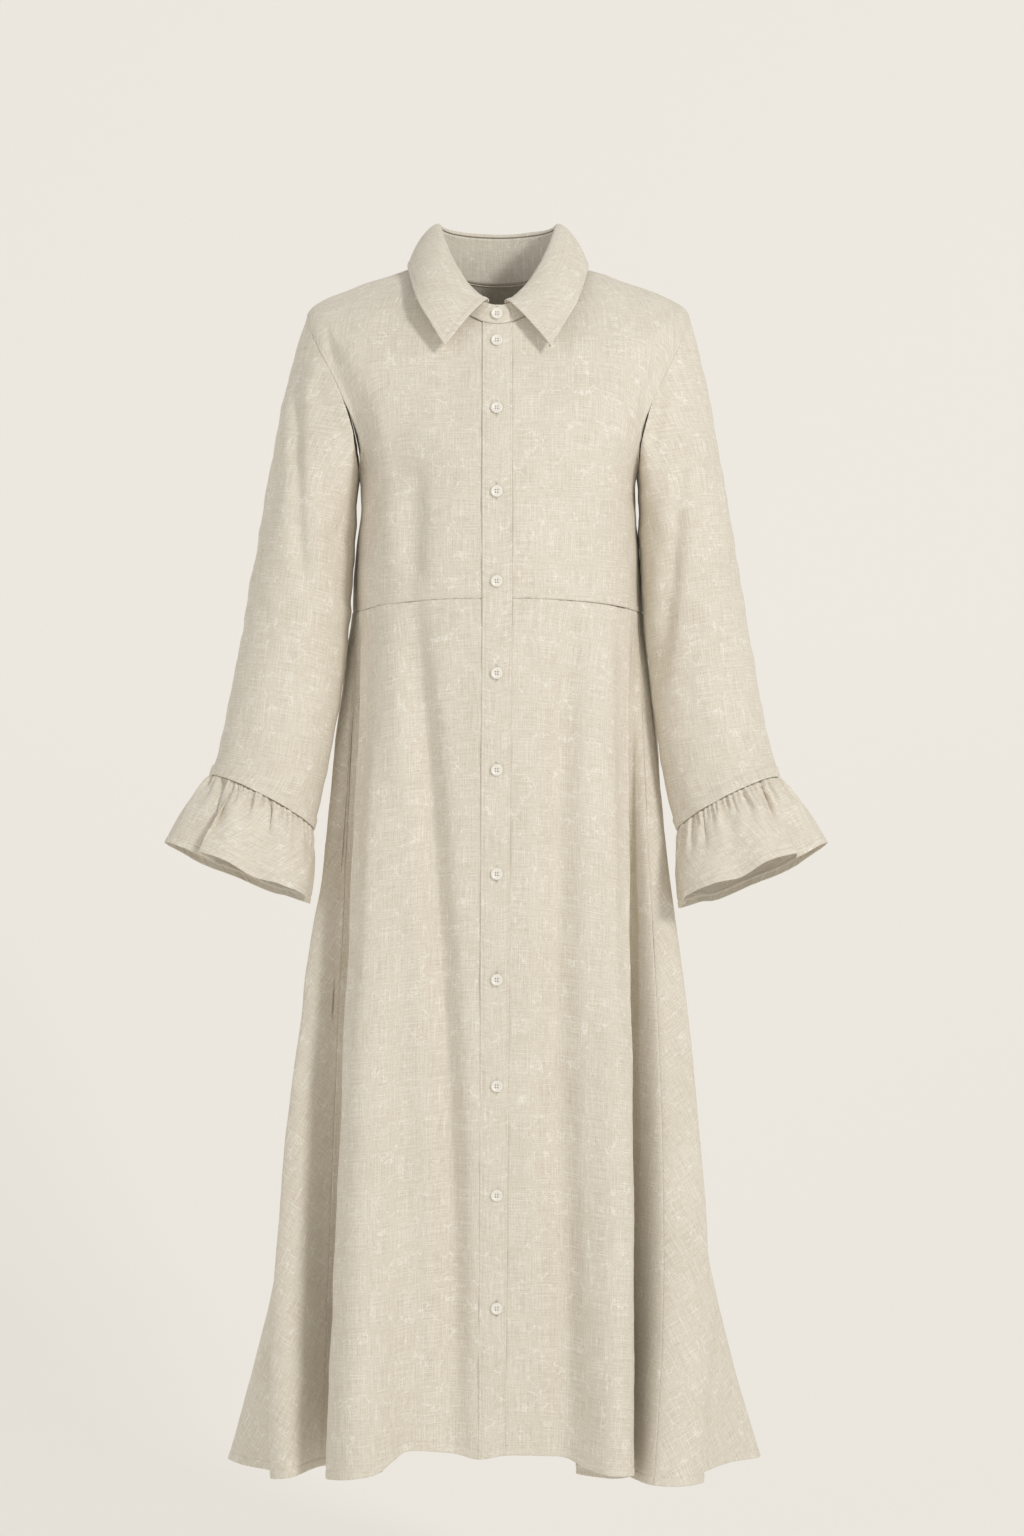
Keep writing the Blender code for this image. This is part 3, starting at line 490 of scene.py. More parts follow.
def make_weave_group():
    """Plain weave of uneven linen yarns, with slubs, fine wrinkles and the yarns' relief. The wrinkles
    are raised in the relief and also painted lighter in colour, a painted highlight along each of
    them.
    """
    tree = bpy.data.node_groups.new("linen weave", "ShaderNodeTree")
    for name, in_out, kind in WEAVE_SOCKETS:
        tree.interface.new_socket(name, in_out=in_out, socket_type=f"NodeSocket{kind}")
    given = tree.nodes.new("NodeGroupInput")
    place = scaled(tree, given.outputs["Cloth"], (1 / MM, 1 / MM, 1 / MM))
    yarns = {name: noise_value(tree, scaled(tree, place, scale), 1.0, detail, 0.55)
             for name, (scale, detail) in YARN_NOISES.items()}

    def total(terms):
        """The sum of values, each times its weight."""
        result = 0.0
        for value, weight in terms:
            result = math_node(tree, "ADD", result, math_node(tree, "MULTIPLY", value, weight))
        return result

    mixed = total((yarns[name], weight) for name, weight in YARN_WEIGHTS.items())
    slubs = math_node(tree, "MAXIMUM", *(map_range(tree, yarns[name], SLUB_RANGE)
                                         for name in ("warp", "weft")))
    off_line = math_node(tree, "ABSOLUTE", math_node(tree, "SUBTRACT", yarns["wrinkle"], 0.5))
    wrinkle_relief_and_highlight = math_node(tree, "MULTIPLY", map_range(tree, off_line, WRINKLE_RANGE),
                         map_range(tree, yarns["patch"], PATCH_RANGE))
    tone = map_range(tree, mixed, YARN_RANGE)
    # The wrinkle lines also lighten the colour here: a painted highlight along each fine wrinkle, on
    # top of their real relief.
    shade = total(((tone, 1.0), (slubs, 0.3), (wrinkle_relief_and_highlight, 0.42)))
    colour = add_node(tree, "ShaderNodeMix", {"Factor": shade}, data_type="RGBA", clamp_factor=True)
    for socket in colour.inputs:
        if socket.type == "RGBA":
            tree.links.new(given.outputs[{"A": "Dark", "B": "Light"}[socket.name]], socket)
    parts = add_node(tree, "ShaderNodeSeparateXYZ", {0: place})
    over, under = (math_node(tree, "SINE", math_node(tree, "MULTIPLY", parts.outputs[axis],
                                                     math.pi / YARN_PITCH)) for axis in ("X", "Y"))
    crossing = math_node(tree, "MULTIPLY", over, under)
    feed(tree, tree.nodes.new("NodeGroupOutput"), {
        "Color": next(socket for socket in colour.outputs if socket.type == "RGBA"),
        "Height": total(((crossing, 0.10), (mixed, 0.42), (slubs, 0.18), (wrinkle_relief_and_highlight, 0.5))),
        "Roughness": map_range(tree, mixed, YARN_RANGE, LINEN_ROUGHNESS),
    })
    return tree


def make_linen(name, light, dark, relief):
    """Matt linen: the weave group drives its colour, roughness and fine relief."""
    material, tree, shader = new_material(name)
    laid = add_node(tree, "ShaderNodeUVMap", uv_map="cloth")
    weave = add_node(tree, "ShaderNodeGroup", node_tree=make_weave_group())
    feed(tree, weave, {"Cloth": laid.outputs["UV"], "Light": light, "Dark": dark})
    bump = add_node(tree, "ShaderNodeBump", {"Strength": relief, "Distance": RELIEF_HEIGHT,
                                             "Height": weave.outputs["Height"]})
    feed(tree, shader, {"Base Color": weave.outputs["Color"], "Roughness": weave.outputs["Roughness"],
                        "Normal": bump.outputs["Normal"], **LINEN_GLOSS})
    return material


def sew_in(item, node, material, flat, area):
    item.data.materials.append(material)
    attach(item, "root")
    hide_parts(node)


def back_bodice_grid():
    """The back's outer grid, and which of its points are cloth."""
    levels = NECK * fine_steps(BACK_ROWS, BACK_SIZE[0], SEAM_STEPS, SEAM_STEPS)
    levels = np.sort(np.append(levels, TIP))[:, None]
    shares = fine_steps(BACK_COLUMNS, BACK_SIZE[1], SEAM_STEPS, SEAM_STEPS)
    edge = 180 - front_end(levels)
    middle = edge + (360 - 2 * edge) * shares
    ridge = armhole_degrees(TIP)
    before = np.linspace(ridge, 180 - ridge, RIDGE_COLUMNS + 1)[:-1]
    sides = np.broadcast_to(before, (len(levels), RIDGE_COLUMNS))
    degrees = np.concatenate([sides, middle, 360 - sides[:, ::-1]], axis=1)
    shown = np.ones(degrees.shape, dtype=bool)
    below = levels[:, 0] < TIP - 1e-9
    shown[below, :RIDGE_COLUMNS] = False
    shown[below, -RIDGE_COLUMNS:] = False
    degrees[below, :RIDGE_COLUMNS] = edge[below]
    degrees[below, -RIDGE_COLUMNS:] = 360 - edge[below]
    return degrees, shown, levels


linen = make_linen("linen", LINEN_LIGHT, LINEN_DARK, LINEN_RELIEF)

back_degrees, back_shown, back_levels = back_bodice_grid()
back = measure(body_surface(back_levels, back_degrees), body_axis)
lay_upright(back, back.points.shape[1] // 2)
back_side = np.minimum(back.from_first, back.from_last)
press(back, side_fullness(back.points[..., 2], back_degrees) + creases(back, BACK_CREASES)
      + seam(back_side, 0.5) + seam(back.from_top) + seam(back.from_bottom)
      + waves(back, (0.45, 70, 3, 1)) + puckers(back.from_first, back.from_top, 13, 0.35, 10, 5)
      + armhole_stitch(back_side, back_levels))
back_item = make_shell("cloth_back_bodice", back, shown=back_shown)
sew_in(back_item, "back_bodice", linen, (0.50, 0.46),
       0.165)


# Fronts of the bodice
# Two linen panels. The wearer's right one runs on under the buttoned band, and both
# end at the shoulder seam, the armhole, the side seam, the neck seam and the waist.
BAND_LEFT = -16.0
BAND_RIGHT = 15.5
UNDERLAP = 12.5
TUCK = 13.3
FRONT_COLUMNS = 84
FRONT_ROWS = 130
FRONT_SIZE = (420, 230)
UNDER_BAND_STEPS = (3, 4, 5)
FRONT_CREASES = {
    "right": (
        ("front", -186, -64, -172, -122, -2, 5, 2.4),
        ("front", -172, -110, -140, -232, -4, 5, 1.6),
        ("front", -154, -112, -146, -352, -9, 15, 7.5),
        ("front", -84, -200, -95, -450, 0, 13, 6.0),
        ("front", -34, -96, -44, -200, 4, 16, 0.8),
        ("front", -120, -60, -96, -130, 4, 14, 0.9),
        ("front", -26, -300, -30, -356, 0, 7, 0.5),
    ),
    "left": (
        ("front", 174, -96, 150, -205, 3, 7, 2.6),
        ("front", 150, -225, 146, -330, 0, 10, 1.3),
        ("front", 60, -210, 66, -352, -3, 16, 1.4),
        ("front", 79, -290, 77, -450, 0, 16, 4.4),
        ("front", 30, -120, 38, -220, -4, 15, 0.8),
        ("front", 118, -62, 100, -140, -4, 14, 0.8),
        ("front", 40, -306, 38, -357, 0, 7, 0.5),
        ("front", 104, -300, 108, -356, 0, 8, 0.6),
    ),
}


def front_bodice_grid(side):
    levels = NECK * fine_steps(FRONT_ROWS, FRONT_SIZE[0], SEAM_STEPS, SEAM_STEPS)[:, None]
    shares = fine_steps(FRONT_COLUMNS, FRONT_SIZE[1], UNDER_BAND_STEPS, SEAM_STEPS)
    turn = -1 if side == "right" else 1
    first = degrees_at_x(levels, UNDERLAP if side == "right" else TUCK)
    return first + (front_end(levels) * turn - first) * shares, levels


front_cloth = {}
for side in ("right", "left"):
    front_degrees, front_levels = front_bodice_grid(side)
    front = measure(body_surface(front_levels, front_degrees), body_axis)
    lay_upright(front, 0)
    front.thread = front.thread * (1 if side == "left" else -1)
    press(front, side_fullness(front.points[..., 2], front_degrees)
          + creases(front, FRONT_CREASES[side]) * held(front.from_top)
          + seam(front.from_last, 0.6) + seam(front.from_top) + seam(front.from_bottom)
          + waves(front, (0.4, 62, 11, 1), (0.14, 21, 12, 1))
          + puckers(front.from_first, front.from_top, 12, 0.3, 9, 15)
          + armhole_stitch(front.from_last, front_levels))
    front_cloth[side] = front
    item = make_shell(f"cloth_front_bodice_{side}", front)
    sew_in(item, f"front_bodice_{side}", linen, (0.26, 0.42),
           0.075)


# Skirt
# Three flared linen panels sewn to the waist seam, cut so wide at the hem that they
# fall in soft flutes. The hem is turned up and stitched all the way round.
HEM_COLUMNS = ("waist_deg", "x", "y", "z", "bow")
HEM = (
    ("right tip", -111, -294, 18, -1286, 12),
    ("right flute front", -107, -275, -20, -1286, 10),
    ("right flute inner turn", -103, -237, -54, -1286, 0),
    ("second flute edge", -99, -239, -86, -1286, -26),
    ("second flute crest", -95, -216, -98, -1282, -20),
    ("second flute end", -91, -190, -57, -1280, -8),
    ("gap beside the main flute", -87, -172, -38, -1284, 0),
    ("deep fold turn", -83, -124, -48, -1286, 8),
    ("deep fold under wall", -79, -146, -86, -1285, 4),
    ("main flute edge", -75, -179, -106, -1281, -3),
    ("main flute front", -70, -170, -142, -1275, -3),
    ("main flute crest", -63, -149, -158, -1271, -3),
    ("main flute fall", -54, -125, -148, -1268, 0),
    ("front hollow rise", -45, -108, -126, -1259, 0),
    ("front hollow", -38, -92, -111, -1252, 0),
    ("front soft valley", -26, -50, -103, -1256, 0),
    ("band right edge", -4.3, -20.5, -112, -1260, 0),
    ("band left edge", 4.1, 8, -112, -1256, 0),
    ("left flat", 20, 46, -110, -1257, 0),
    ("left soft valley", 31, 69, -113, -1258, 0),
    ("fourth flute rise", 42, 88, -132, -1264, 0),
    ("fourth flute crest", 54, 112, -157, -1267, 0),
    ("fourth flute front", 62, 129, -158, -1268, 2),
    ("fourth flute edge", 70, 141, -136, -1272, 2),
    ("fourth under wall", 74, 120, -96, -1284, 0),
    ("fourth deep turn", 78, 84, -62, -1286, -4),
    ("fourth gap", 82, 130, -54, -1286, 0),
    ("fifth flute start", 86, 142, -103, -1282, 8),
    ("fifth flute front", 90, 160, -148, -1279, 18),
    ("fifth flute crest", 94, 190, -154, -1279, 26),
    ("fifth flute edge", 98, 214, -130, -1280, 30),
    ("fifth inner turn", 102, 209, -84, -1284, 14),
    ("left flute front", 106, 246, -30, -1282, 0),
    ("left tip", 110, 283, 10, -1284, -14),
    ("back side flute", 115, 268, 50, -1285, -6),
    ("back side valley", 122, 212, 76, -1286, 0),
    ("back first crest", 131, 206, 136, -1286, 8),
    ("back first valley", 140, 146, 128, -1286, 0),
    ("back second crest", 151, 112, 190, -1286, 3),
    ("back second valley", 163, 52, 150, -1286, 0),
    ("back third crest", 175, 8, 184, -1286, 0),
    ("back third valley", 186, -40, 156, -1286, 0),
    ("back fourth crest", 198, -92, 196, -1286, -2),
    ("back fourth valley", 209, -134, 134, -1286, 0),
    ("back fifth crest", 221, -186, 150, -1286, -6),
    ("back fifth valley", 231, -206, 88, -1286, 0),
    ("back sixth crest", 241, -258, 64, -1286, -2),
    ("right side valley", 248, -266, 38, -1286, 2),
)
SKIRT_FLARE = 0.05
FOLD_GROWTH = 1.35
BOW_SCALE = 6.75
SOFT_HEM_WEIGHTS = (1, 2, 3, 2, 1)
BAND_ROW = 16
SIDE_SEAM_DEG = 90.0
SIDE_SEAM_DEPTH = 0.25
SKIRT_LENGTH = 915.0
HEM_STITCH = 9.0
HEM_STEPS = (1.0, 2.2, 4.0, 6.2, 7.8, 8.5, 9.0, 9.5, 10.2, 11.6)
SKIRT_ROWS = 106
SKIRT_WIDTH = 500
SKIRT_CREASES = {
    "front_skirt_right": (
        ("front", -110, -200, -48, -1340, -19.5, 15, 13),
        ("front", -136, -290, -162, -880, 0, 10, 5.5),
        ("front", -118, -372, -132, -560, 4, 13, 1.8),
        ("front", -104, -364, -108, -420, 0, 6, 0.8),
        ("front", -36, -362, -34, -430, 1, 7, 0.7),
        ("front", -92, -820, -84, -1180, 5, 24, 1.4),
    ),
    "front_skirt_left": (
        ("front", 90, -200, 83, -1340, 24, 17, 13),
        ("front", 131, -250, 137, -900, 0, 9, 5.2),
        ("front", 44, -364, 40, -520, 3, 10, 1.0),
        ("front", 26, -362, 30, -440, -2, 7, 0.6),
        ("front", 160, -520, 178, -800, -5, 12, 1.4),
    ),
    "back_skirt": (
        ("back", -60, -372, -74, -620, 6, 16, 2.4),
        ("back", 58, -372, 70, -640, -6, 17, 2.2),
        ("back", 4, -368, -2, -560, 4, 14, 1.4),
        ("back", -108, -374, -130, -600, 5, 13, 1.8),
        ("back", 110, -374, 132, -590, -5, 13, 1.8),
    ),
}


def soft_hem(name):
    """A hem column averaged over its neighbours, for the shape without its folds."""
    values = np.array(table_column(HEM, HEM_COLUMNS, name), dtype=float)
    reach = len(SOFT_HEM_WEIGHTS) // 2
    total = sum(weight * np.roll(values, reach - shift)
                for shift, weight in enumerate(SOFT_HEM_WEIGHTS))
    return total / sum(SOFT_HEM_WEIGHTS)


def waist_degrees(place):
    starts = table_column(HEM, HEM_COLUMNS, "waist_deg")
    starts.append(starts[0] + 360)
    turns = np.floor(place / len(HEM))
    return np.interp(place - turns * len(HEM), np.arange(len(starts)), starts)


def place_at_waist(degrees):
    starts = table_column(HEM, HEM_COLUMNS, "waist_deg")
    return float(np.interp(degrees, starts, np.arange(len(starts))))


def skirt_surface(place, down, lift=0.0):
    """Places on the skirt: place runs round the hem table, down from 0 to 1."""
    place, down = np.broadcast_arrays(np.asarray(place, float), np.asarray(down, float))
    hem = table_values(HEM, HEM_COLUMNS, place, closed=True)
    soft_x = curve_value(SOFT_HEM_X, place, closed=True)
    soft_y = curve_value(SOFT_HEM_Y, place, closed=True)
    waist = body_surface(0.0, waist_degrees(place))
    opened = down + SKIRT_FLARE * np.sin(2 * math.pi * down)
    folded = np.abs(down) ** FOLD_GROWTH
    x = waist[..., 0] + (soft_x - waist[..., 0]) * opened + (hem["x"] - soft_x) * folded
    x = x + hem["bow"] * BOW_SCALE * down * down * (1 - down)
    y = waist[..., 1] + (soft_y - waist[..., 1]) * opened + (hem["y"] - soft_y) * folded
    z = waist[..., 2] + (hem["z"] - waist[..., 2]) * down
    return stack(x, y - lift, z)


SOFT_HEM_X = soft_hem("x")
SOFT_HEM_Y = soft_hem("y")
LEFT_SIDE = place_at_waist(SIDE_SEAM_DEG)
RIGHT_SIDE = place_at_waist(-SIDE_SEAM_DEG)
BAND_SPAN = BAND_RIGHT - BAND_LEFT
SKIRT_PANELS = (
    ("right", "first", RIGHT_SIDE, BAND_ROW + (UNDERLAP - BAND_LEFT) / BAND_SPAN, 178),
    ("left", "last", BAND_ROW + (TUCK - BAND_LEFT) / BAND_SPAN, LEFT_SIDE, 178),
    ("back", "both", LEFT_SIDE, RIGHT_SIDE + len(HEM), 270),
)
SKIRT_CLOTHS = {
    "right": ("front_skirt_right", "front_bodice_right", (0.46, 0.94), 0.29),
    "left": ("front_skirt_left", "front_bodice_left", (0.46, 0.94), 0.28),
    "back": ("back_skirt", "back_bodice", (1.2, 0.95), 0.75),
}
hem_edges = []
for panel, seams, first, last, columns in SKIRT_PANELS:
    name, above, flat, area = SKIRT_CLOTHS[panel]
    downs = fine_steps(SKIRT_ROWS, SKIRT_LENGTH, SEAM_STEPS, HEM_STEPS)[:, None]
    shares = fine_steps(columns, SKIRT_WIDTH, () if seams == "last" else SEAM_STEPS,
                        () if seams == "first" else SEAM_STEPS)
    places = first + (last - first) * shares
    skirt = measure(skirt_surface(places, downs), body_axis)
    lay_fan(skirt, {"first": -skirt.from_last, "last": skirt.from_first,
                    "both": skirt.from_first - skirt.width / 2}[seams])
    depth = creases(skirt, SKIRT_CREASES[name]) * held(skirt.from_top) + seam(skirt.from_top)
    depth += side_fullness(skirt.points[..., 2], waist_degrees(places))
    if seams != "last":
        depth += seam(skirt.from_first, SIDE_SEAM_DEPTH)
    if seams != "first":
        depth += seam(skirt.from_last, SIDE_SEAM_DEPTH)
    depth += topstitch(skirt.from_bottom, HEM_STITCH)
    depth += puckers(skirt.from_first, skirt.from_bottom, 15, 0.25, 14, 21)
    depth += puckers(skirt.from_first, skirt.from_top, 12, 1.1, 24, 23)
    press(skirt, depth + waves(skirt, (0.7, 90, 25, 0.45), (0.16, 24, 26, 0.7)))
    hem_edges.append(skirt)
    item = make_shell(f"cloth_{name}", skirt)
    sew_in(item, name, linen, flat, area)


# Sleeves
# One-piece linen sleeves, set into the armholes and narrowing a little to the cuff
# seam, where the last centimetre flares as a plain band.
SLEEVE_COLUMNS = ("outer_x", "outer_z", "inner_x", "inner_z", "middle_y", "half_depth")
SLEEVES = {
    "right": (
        ("armhole", -206, -48, -150.6, -222, 0, 68),
        ("cap", -229, -128, -153.5, -262, 1, 66),
        ("upper arm", -247, -222, -156.5, -304, 2, 63),
        ("elbow", -265, -326, -161, -364, -2, 59),
        ("forearm", -281, -425, -169, -446, -14, 55),
        ("wrist", -298, -518, -187, -558, -33, 51),
        ("cuff seam", -307, -548, -197, -603, -42, 53),
    ),
    "left": (
        ("armhole", 206, -48, 150.6, -222, 0, 68),
        ("cap", 226, -128, 151.8, -262, 1, 66),
        ("upper arm", 243, -222, 153.4, -304, 2, 63),
        ("elbow", 260, -326, 157.5, -370, -2, 59),
        ("forearm", 275, -425, 166, -452, -14, 55),
        ("wrist", 292, -518, 179.5, -560, -33, 51),
        ("cuff seam", 300, -550, 192, -603, -42, 53),
    ),
}
ARMHOLE_BLEND = 0.3
CUFF_PITCH = 0.23
CUFF_SEAM = len(SLEEVES["right"]) - 1
SLEEVE_FINE_COLUMNS = 112
SLEEVE_FINE_ROWS = 115
SLEEVE_LENGTH = 480
SLACK_HEIGHTS = (250, 300, 360, 450, 510, 580)
SLACK = (0, 1.5, 2.5, 2.5, 1.5, 0)
SLACK_SHARE = {"right": 1.0, "left": 0.5}
SLACK_SPREAD = 35
CUFF_BAND = 14.5
CUFF_BAND_LIFT = 1.8
SLEEVE_CREASES = {
    "right": (
        ("front", -212, -40, -198, -400, 10, 8, 5.4),
        ("front", -232, -210, -250, -330, 3, 9, 1.6),
        ("front", -196, -84, -206, -126, 2, 5, 1.4),
        ("front", -158, -262, -188, -330, 4, 7, 1.8),
        ("front", -164, -330, -214, -368, -5, 8, 1.6),
        ("front", -262, -340, -232, -402, 5, 9, 1.4),
        ("front", -176, -420, -214, -470, 4, 8, 1.2),
        ("front", -282, -440, -264, -520, -3, 8, 1.3),
        ("front", -210, -470, -222, -560, 2, 8, 1.0),
        ("back", -220, -110, -240, -260, 3, 9, 2.0),
        ("back", -170, -280, -216, -352, 5, 10, 2.0),
        ("back", -262, -350, -214, -400, -4, 10, 1.7),
        ("back", -190, -420, -240, -500, 4, 10, 1.5),
    ),
    "left": (
        ("front", 200, -190, 166, -490, 0, 10, 6.0),
        ("front", 178, -110, 156, -215, -3, 7, 4.2),
        ("front", 222, -110, 234, -240, 3, 9, 1.4),
        ("front", 160, -270, 186, -350, -4, 8, 1.4),
        ("front", 166, -350, 206, -392, 5, 8, 1.3),
        ("front", 258, -330, 226, -390, -4, 9, 1.3),
        ("front", 184, -430, 214, -500, -3, 8, 1.2),
        ("front", 274, -440, 252, -530, 3, 9, 1.3),
        ("back", 218, -110, 236, -260, -3, 9, 2.0),
        ("back", 168, -280, 214, -350, -5, 10, 2.0),
        ("back", 258, -350, 212, -404, 4, 10, 1.7),
        ("back", 188, -424, 236, -500, -4, 10, 1.5),
    ),
}


def armhole_level(step):
    """Level of a step down the armhole: 1 is the shoulder tip, 12 the armpit."""
    start = math.cos(math.pi / ARMHOLE_STEPS)
    share = (start - np.cos(math.pi * step / ARMHOLE_STEPS)) / (start + 1)
    levels = np.linspace(ARMPIT, TIP, 400)
    heights = ring_at(levels)["side_z"]
    return np.interp(heights[-1] + (heights[0] - heights[-1]) * share, heights, levels)


def armhole_curve(side, degrees):
    """The armhole edge, from the ridge down the front to the armpit and up the back."""
    turn = -1 if side == "right" else 1
    step = ARMHOLE_STEPS - np.abs(degrees / 180 * ARMHOLE_STEPS - ARMHOLE_STEPS)
    level = armhole_level(np.maximum(step, 1.0))
    ridge = 90 + (armhole_degrees(TIP) - 90) * np.minimum(step, 1.0)
    angle = np.where(step < 1, ridge, front_end(level))
    angle = np.where(degrees > 180, 180 - angle, angle)
    return body_surface(level, angle * turn)


def sleeve_section(side, place, degrees):
    """Places on the plain tube. 0 degrees is its outer line, 90 its front."""
    place, degrees = np.broadcast_arrays(np.asarray(place, float), np.asarray(degrees, float))
    row = table_values(SLEEVES[side], SLEEVE_COLUMNS, place)
    outer = stack(row["outer_x"], row["middle_y"], row["outer_z"])
    inner = stack(row["inner_x"], row["middle_y"], row["inner_z"])
    middle = (outer + inner) / 2
    cosine, sine = (part[..., None] for part in cos_sin(degrees))
    pitch = CUFF_PITCH * smooth_step(place / CUFF_SEAM)
    front = stack(0.0, -row["half_depth"], row["half_depth"] * pitch)
    return middle + (outer - middle) * cosine + front * sine


def sleeve_surface(side, share, degrees):
    blend = 1 - smooth_step(share / ARMHOLE_BLEND)
    start = sleeve_section(side, 0.0, degrees)
    return (sleeve_section(side, CUFF_SEAM * share, degrees)
            + (armhole_curve(side, degrees) - start) * blend[..., None])


def sleeve_axis(side):
    """A function from points to the sleeve's middle line at their height."""
    places = np.linspace(0, CUFF_SEAM, 60)
    middle = (sleeve_section(side, places, 0) + sleeve_section(side, places, 180)) / 2

    def inside(points):
        z = points[..., 2]
        x = np.interp(-z, -middle[:, 2], middle[:, 0])
        y = np.interp(-z, -middle[:, 2], middle[:, 1])
        return stack(x, y, z)

    return inside


def lay_tube(cloth, axis):
    """Lays a tube's threads out along its axis and square round it."""
    steps = np.roll(cloth.points, -1, axis=1) - cloth.points
    steps = steps - np.sum(steps * axis, axis=2, keepdims=True) * axis
    around = np.cumsum(np.linalg.norm(steps, axis=2), axis=1)
    cloth.thread = np.concatenate([np.zeros((len(around), 1)), around[:, :-1]], axis=1)
    cloth.around = around[:, -1:]
    cloth.drop = np.sum(cloth.points * axis, axis=2)


for side in ("right", "left"):
    shares = fine_steps(SLEEVE_FINE_ROWS, SLEEVE_LENGTH, SEAM_STEPS, SEAM_STEPS)[:, None]
    degrees = np.linspace(180, 540, SLEEVE_FINE_COLUMNS, endpoint=False)[None, :] % 360
    shares, degrees = np.broadcast_arrays(shares, degrees)
    sleeve = measure(sleeve_surface(side, shares, degrees), sleeve_axis(side), closed=True)
    lay_tube(sleeve, unit(sleeve.points[-1].mean(axis=0) - sleeve.points[0].mean(axis=0)))
    slack = np.interp(-sleeve.points[..., 2], SLACK_HEIGHTS, SLACK) * SLACK_SHARE[side]
    slack = slack * np.exp(-((np.abs(degrees - 180) / SLACK_SPREAD) ** 2))
    band = CUFF_BAND_LIFT * smooth_step((CUFF_BAND - sleeve.from_bottom) / 4)
    underarm = np.minimum(sleeve.from_first, sleeve.from_last)
    press(sleeve, creases(sleeve, SLEEVE_CREASES[side]) + seam(sleeve.from_top, 0.6)
          + seam(sleeve.from_bottom, 0.6) + seam(underarm, 0.5) + slack + band
          + puckers(sleeve.from_first, sleeve.from_top, 14, 0.5, 16, 31)
          + puckers(sleeve.from_first, sleeve.from_bottom, 10, 0.3, 8, 33)
          + waves(sleeve, (0.55, 55, 35, 1), (0.2, 22, 36, 1)))
    item = make_shell(f"cloth_sleeve_{side}", sleeve)
    sew_in(item, f"sleeve_{side}", linen, (0.42, 0.60),
           0.19)


# Ruffles
# A strip of linen gathered onto the end of each sleeve. The gathers are sharp at the
# seam and open below it into a few large waves, and the hem is turned and stitched.
RUFFLE_COLUMNS = ("seam_deg", "hem_deg", "reach", "drop")
RUFFLES = {
    "right": (
        ("outer tip", 0, 0, 2, 1),
        ("outer front", 22, 29, 2, 3),
        ("inner turn", 46, 70, -13, 5),
        ("front fold edge", 56, 62, 4, 4),
        ("front wave", 78, 84, 4, 2),
        ("front dip", 100, 105, -4, 5),
        ("inner front wave", 124, 125, 3, 0),
        ("inner corner", 152, 154, 2, -4),
        ("curl", 176, 184, -8, -2),
        ("back inner wave", 200, 204, 4, -6),
        ("back dip", 226, 228, -6, -6),
        ("back wave", 250, 250, 5, -6),
        ("back middle dip", 276, 276, -6, -5),
        ("back outer wave", 302, 302, 5, -3),
        ("back outer dip", 332, 332, -5, -1),
    ),
    "left": (
        ("outer tip", 0, 0, 2, 1),
        ("outer front", 24, 26, 1, 4),
        ("fold dip", 46, 48, -10, 8),
        ("fold edge", 62, 59, 3, 6),
        ("front wave", 82, 82, 5, 3),
        ("front dip", 102, 102, -5, 6),
        ("inner front wave", 124, 122, 2, 0),
        ("inner corner", 150, 152, 3, -4),
        ("curl", 174, 182, -8, -2),
        ("back inner wave", 198, 202, 4, -3),
        ("back dip", 222, 226, -6, -2),
        ("back wave", 248, 248, 5, 0),
        ("back middle dip", 272, 274, -6, 1),
        ("back outer wave", 300, 300, 5, 2),
        ("back outer dip", 330, 330, -5, 2),
    ),
}
RUFFLE_HEM = {
    "right": {"centre": (-274, -64, -651), "outer": (-76, 33), "half_depth": 62},
    "left": {"centre": (269, -64, -652), "outer": (78, 34), "half_depth": 62},
}
GATHERS = 20
GATHER_HEIGHT = 2.0
GATHER_AT_SEAM = 0.35
GATHER_FULL = 0.09
GATHER_END = 0.7
RUFFLE_BELLY = 4
RUFFLE_SHELL = 0.9
RUFFLE_LENGTH = 110
RUFFLE_FINE_COLUMNS = 400
RUFFLE_FINE_ROWS = 40
RUFFLE_STITCH = 7.5
RUFFLE_HEM_STEPS = (1.0, 2.4, 4.4, 6.2, 6.9, 7.5, 8.1, 8.9, 10.2)
GATHER_DEPTH = 2.4
GATHER_SEWN = 0.42
GATHER_WIDTH = 1.3
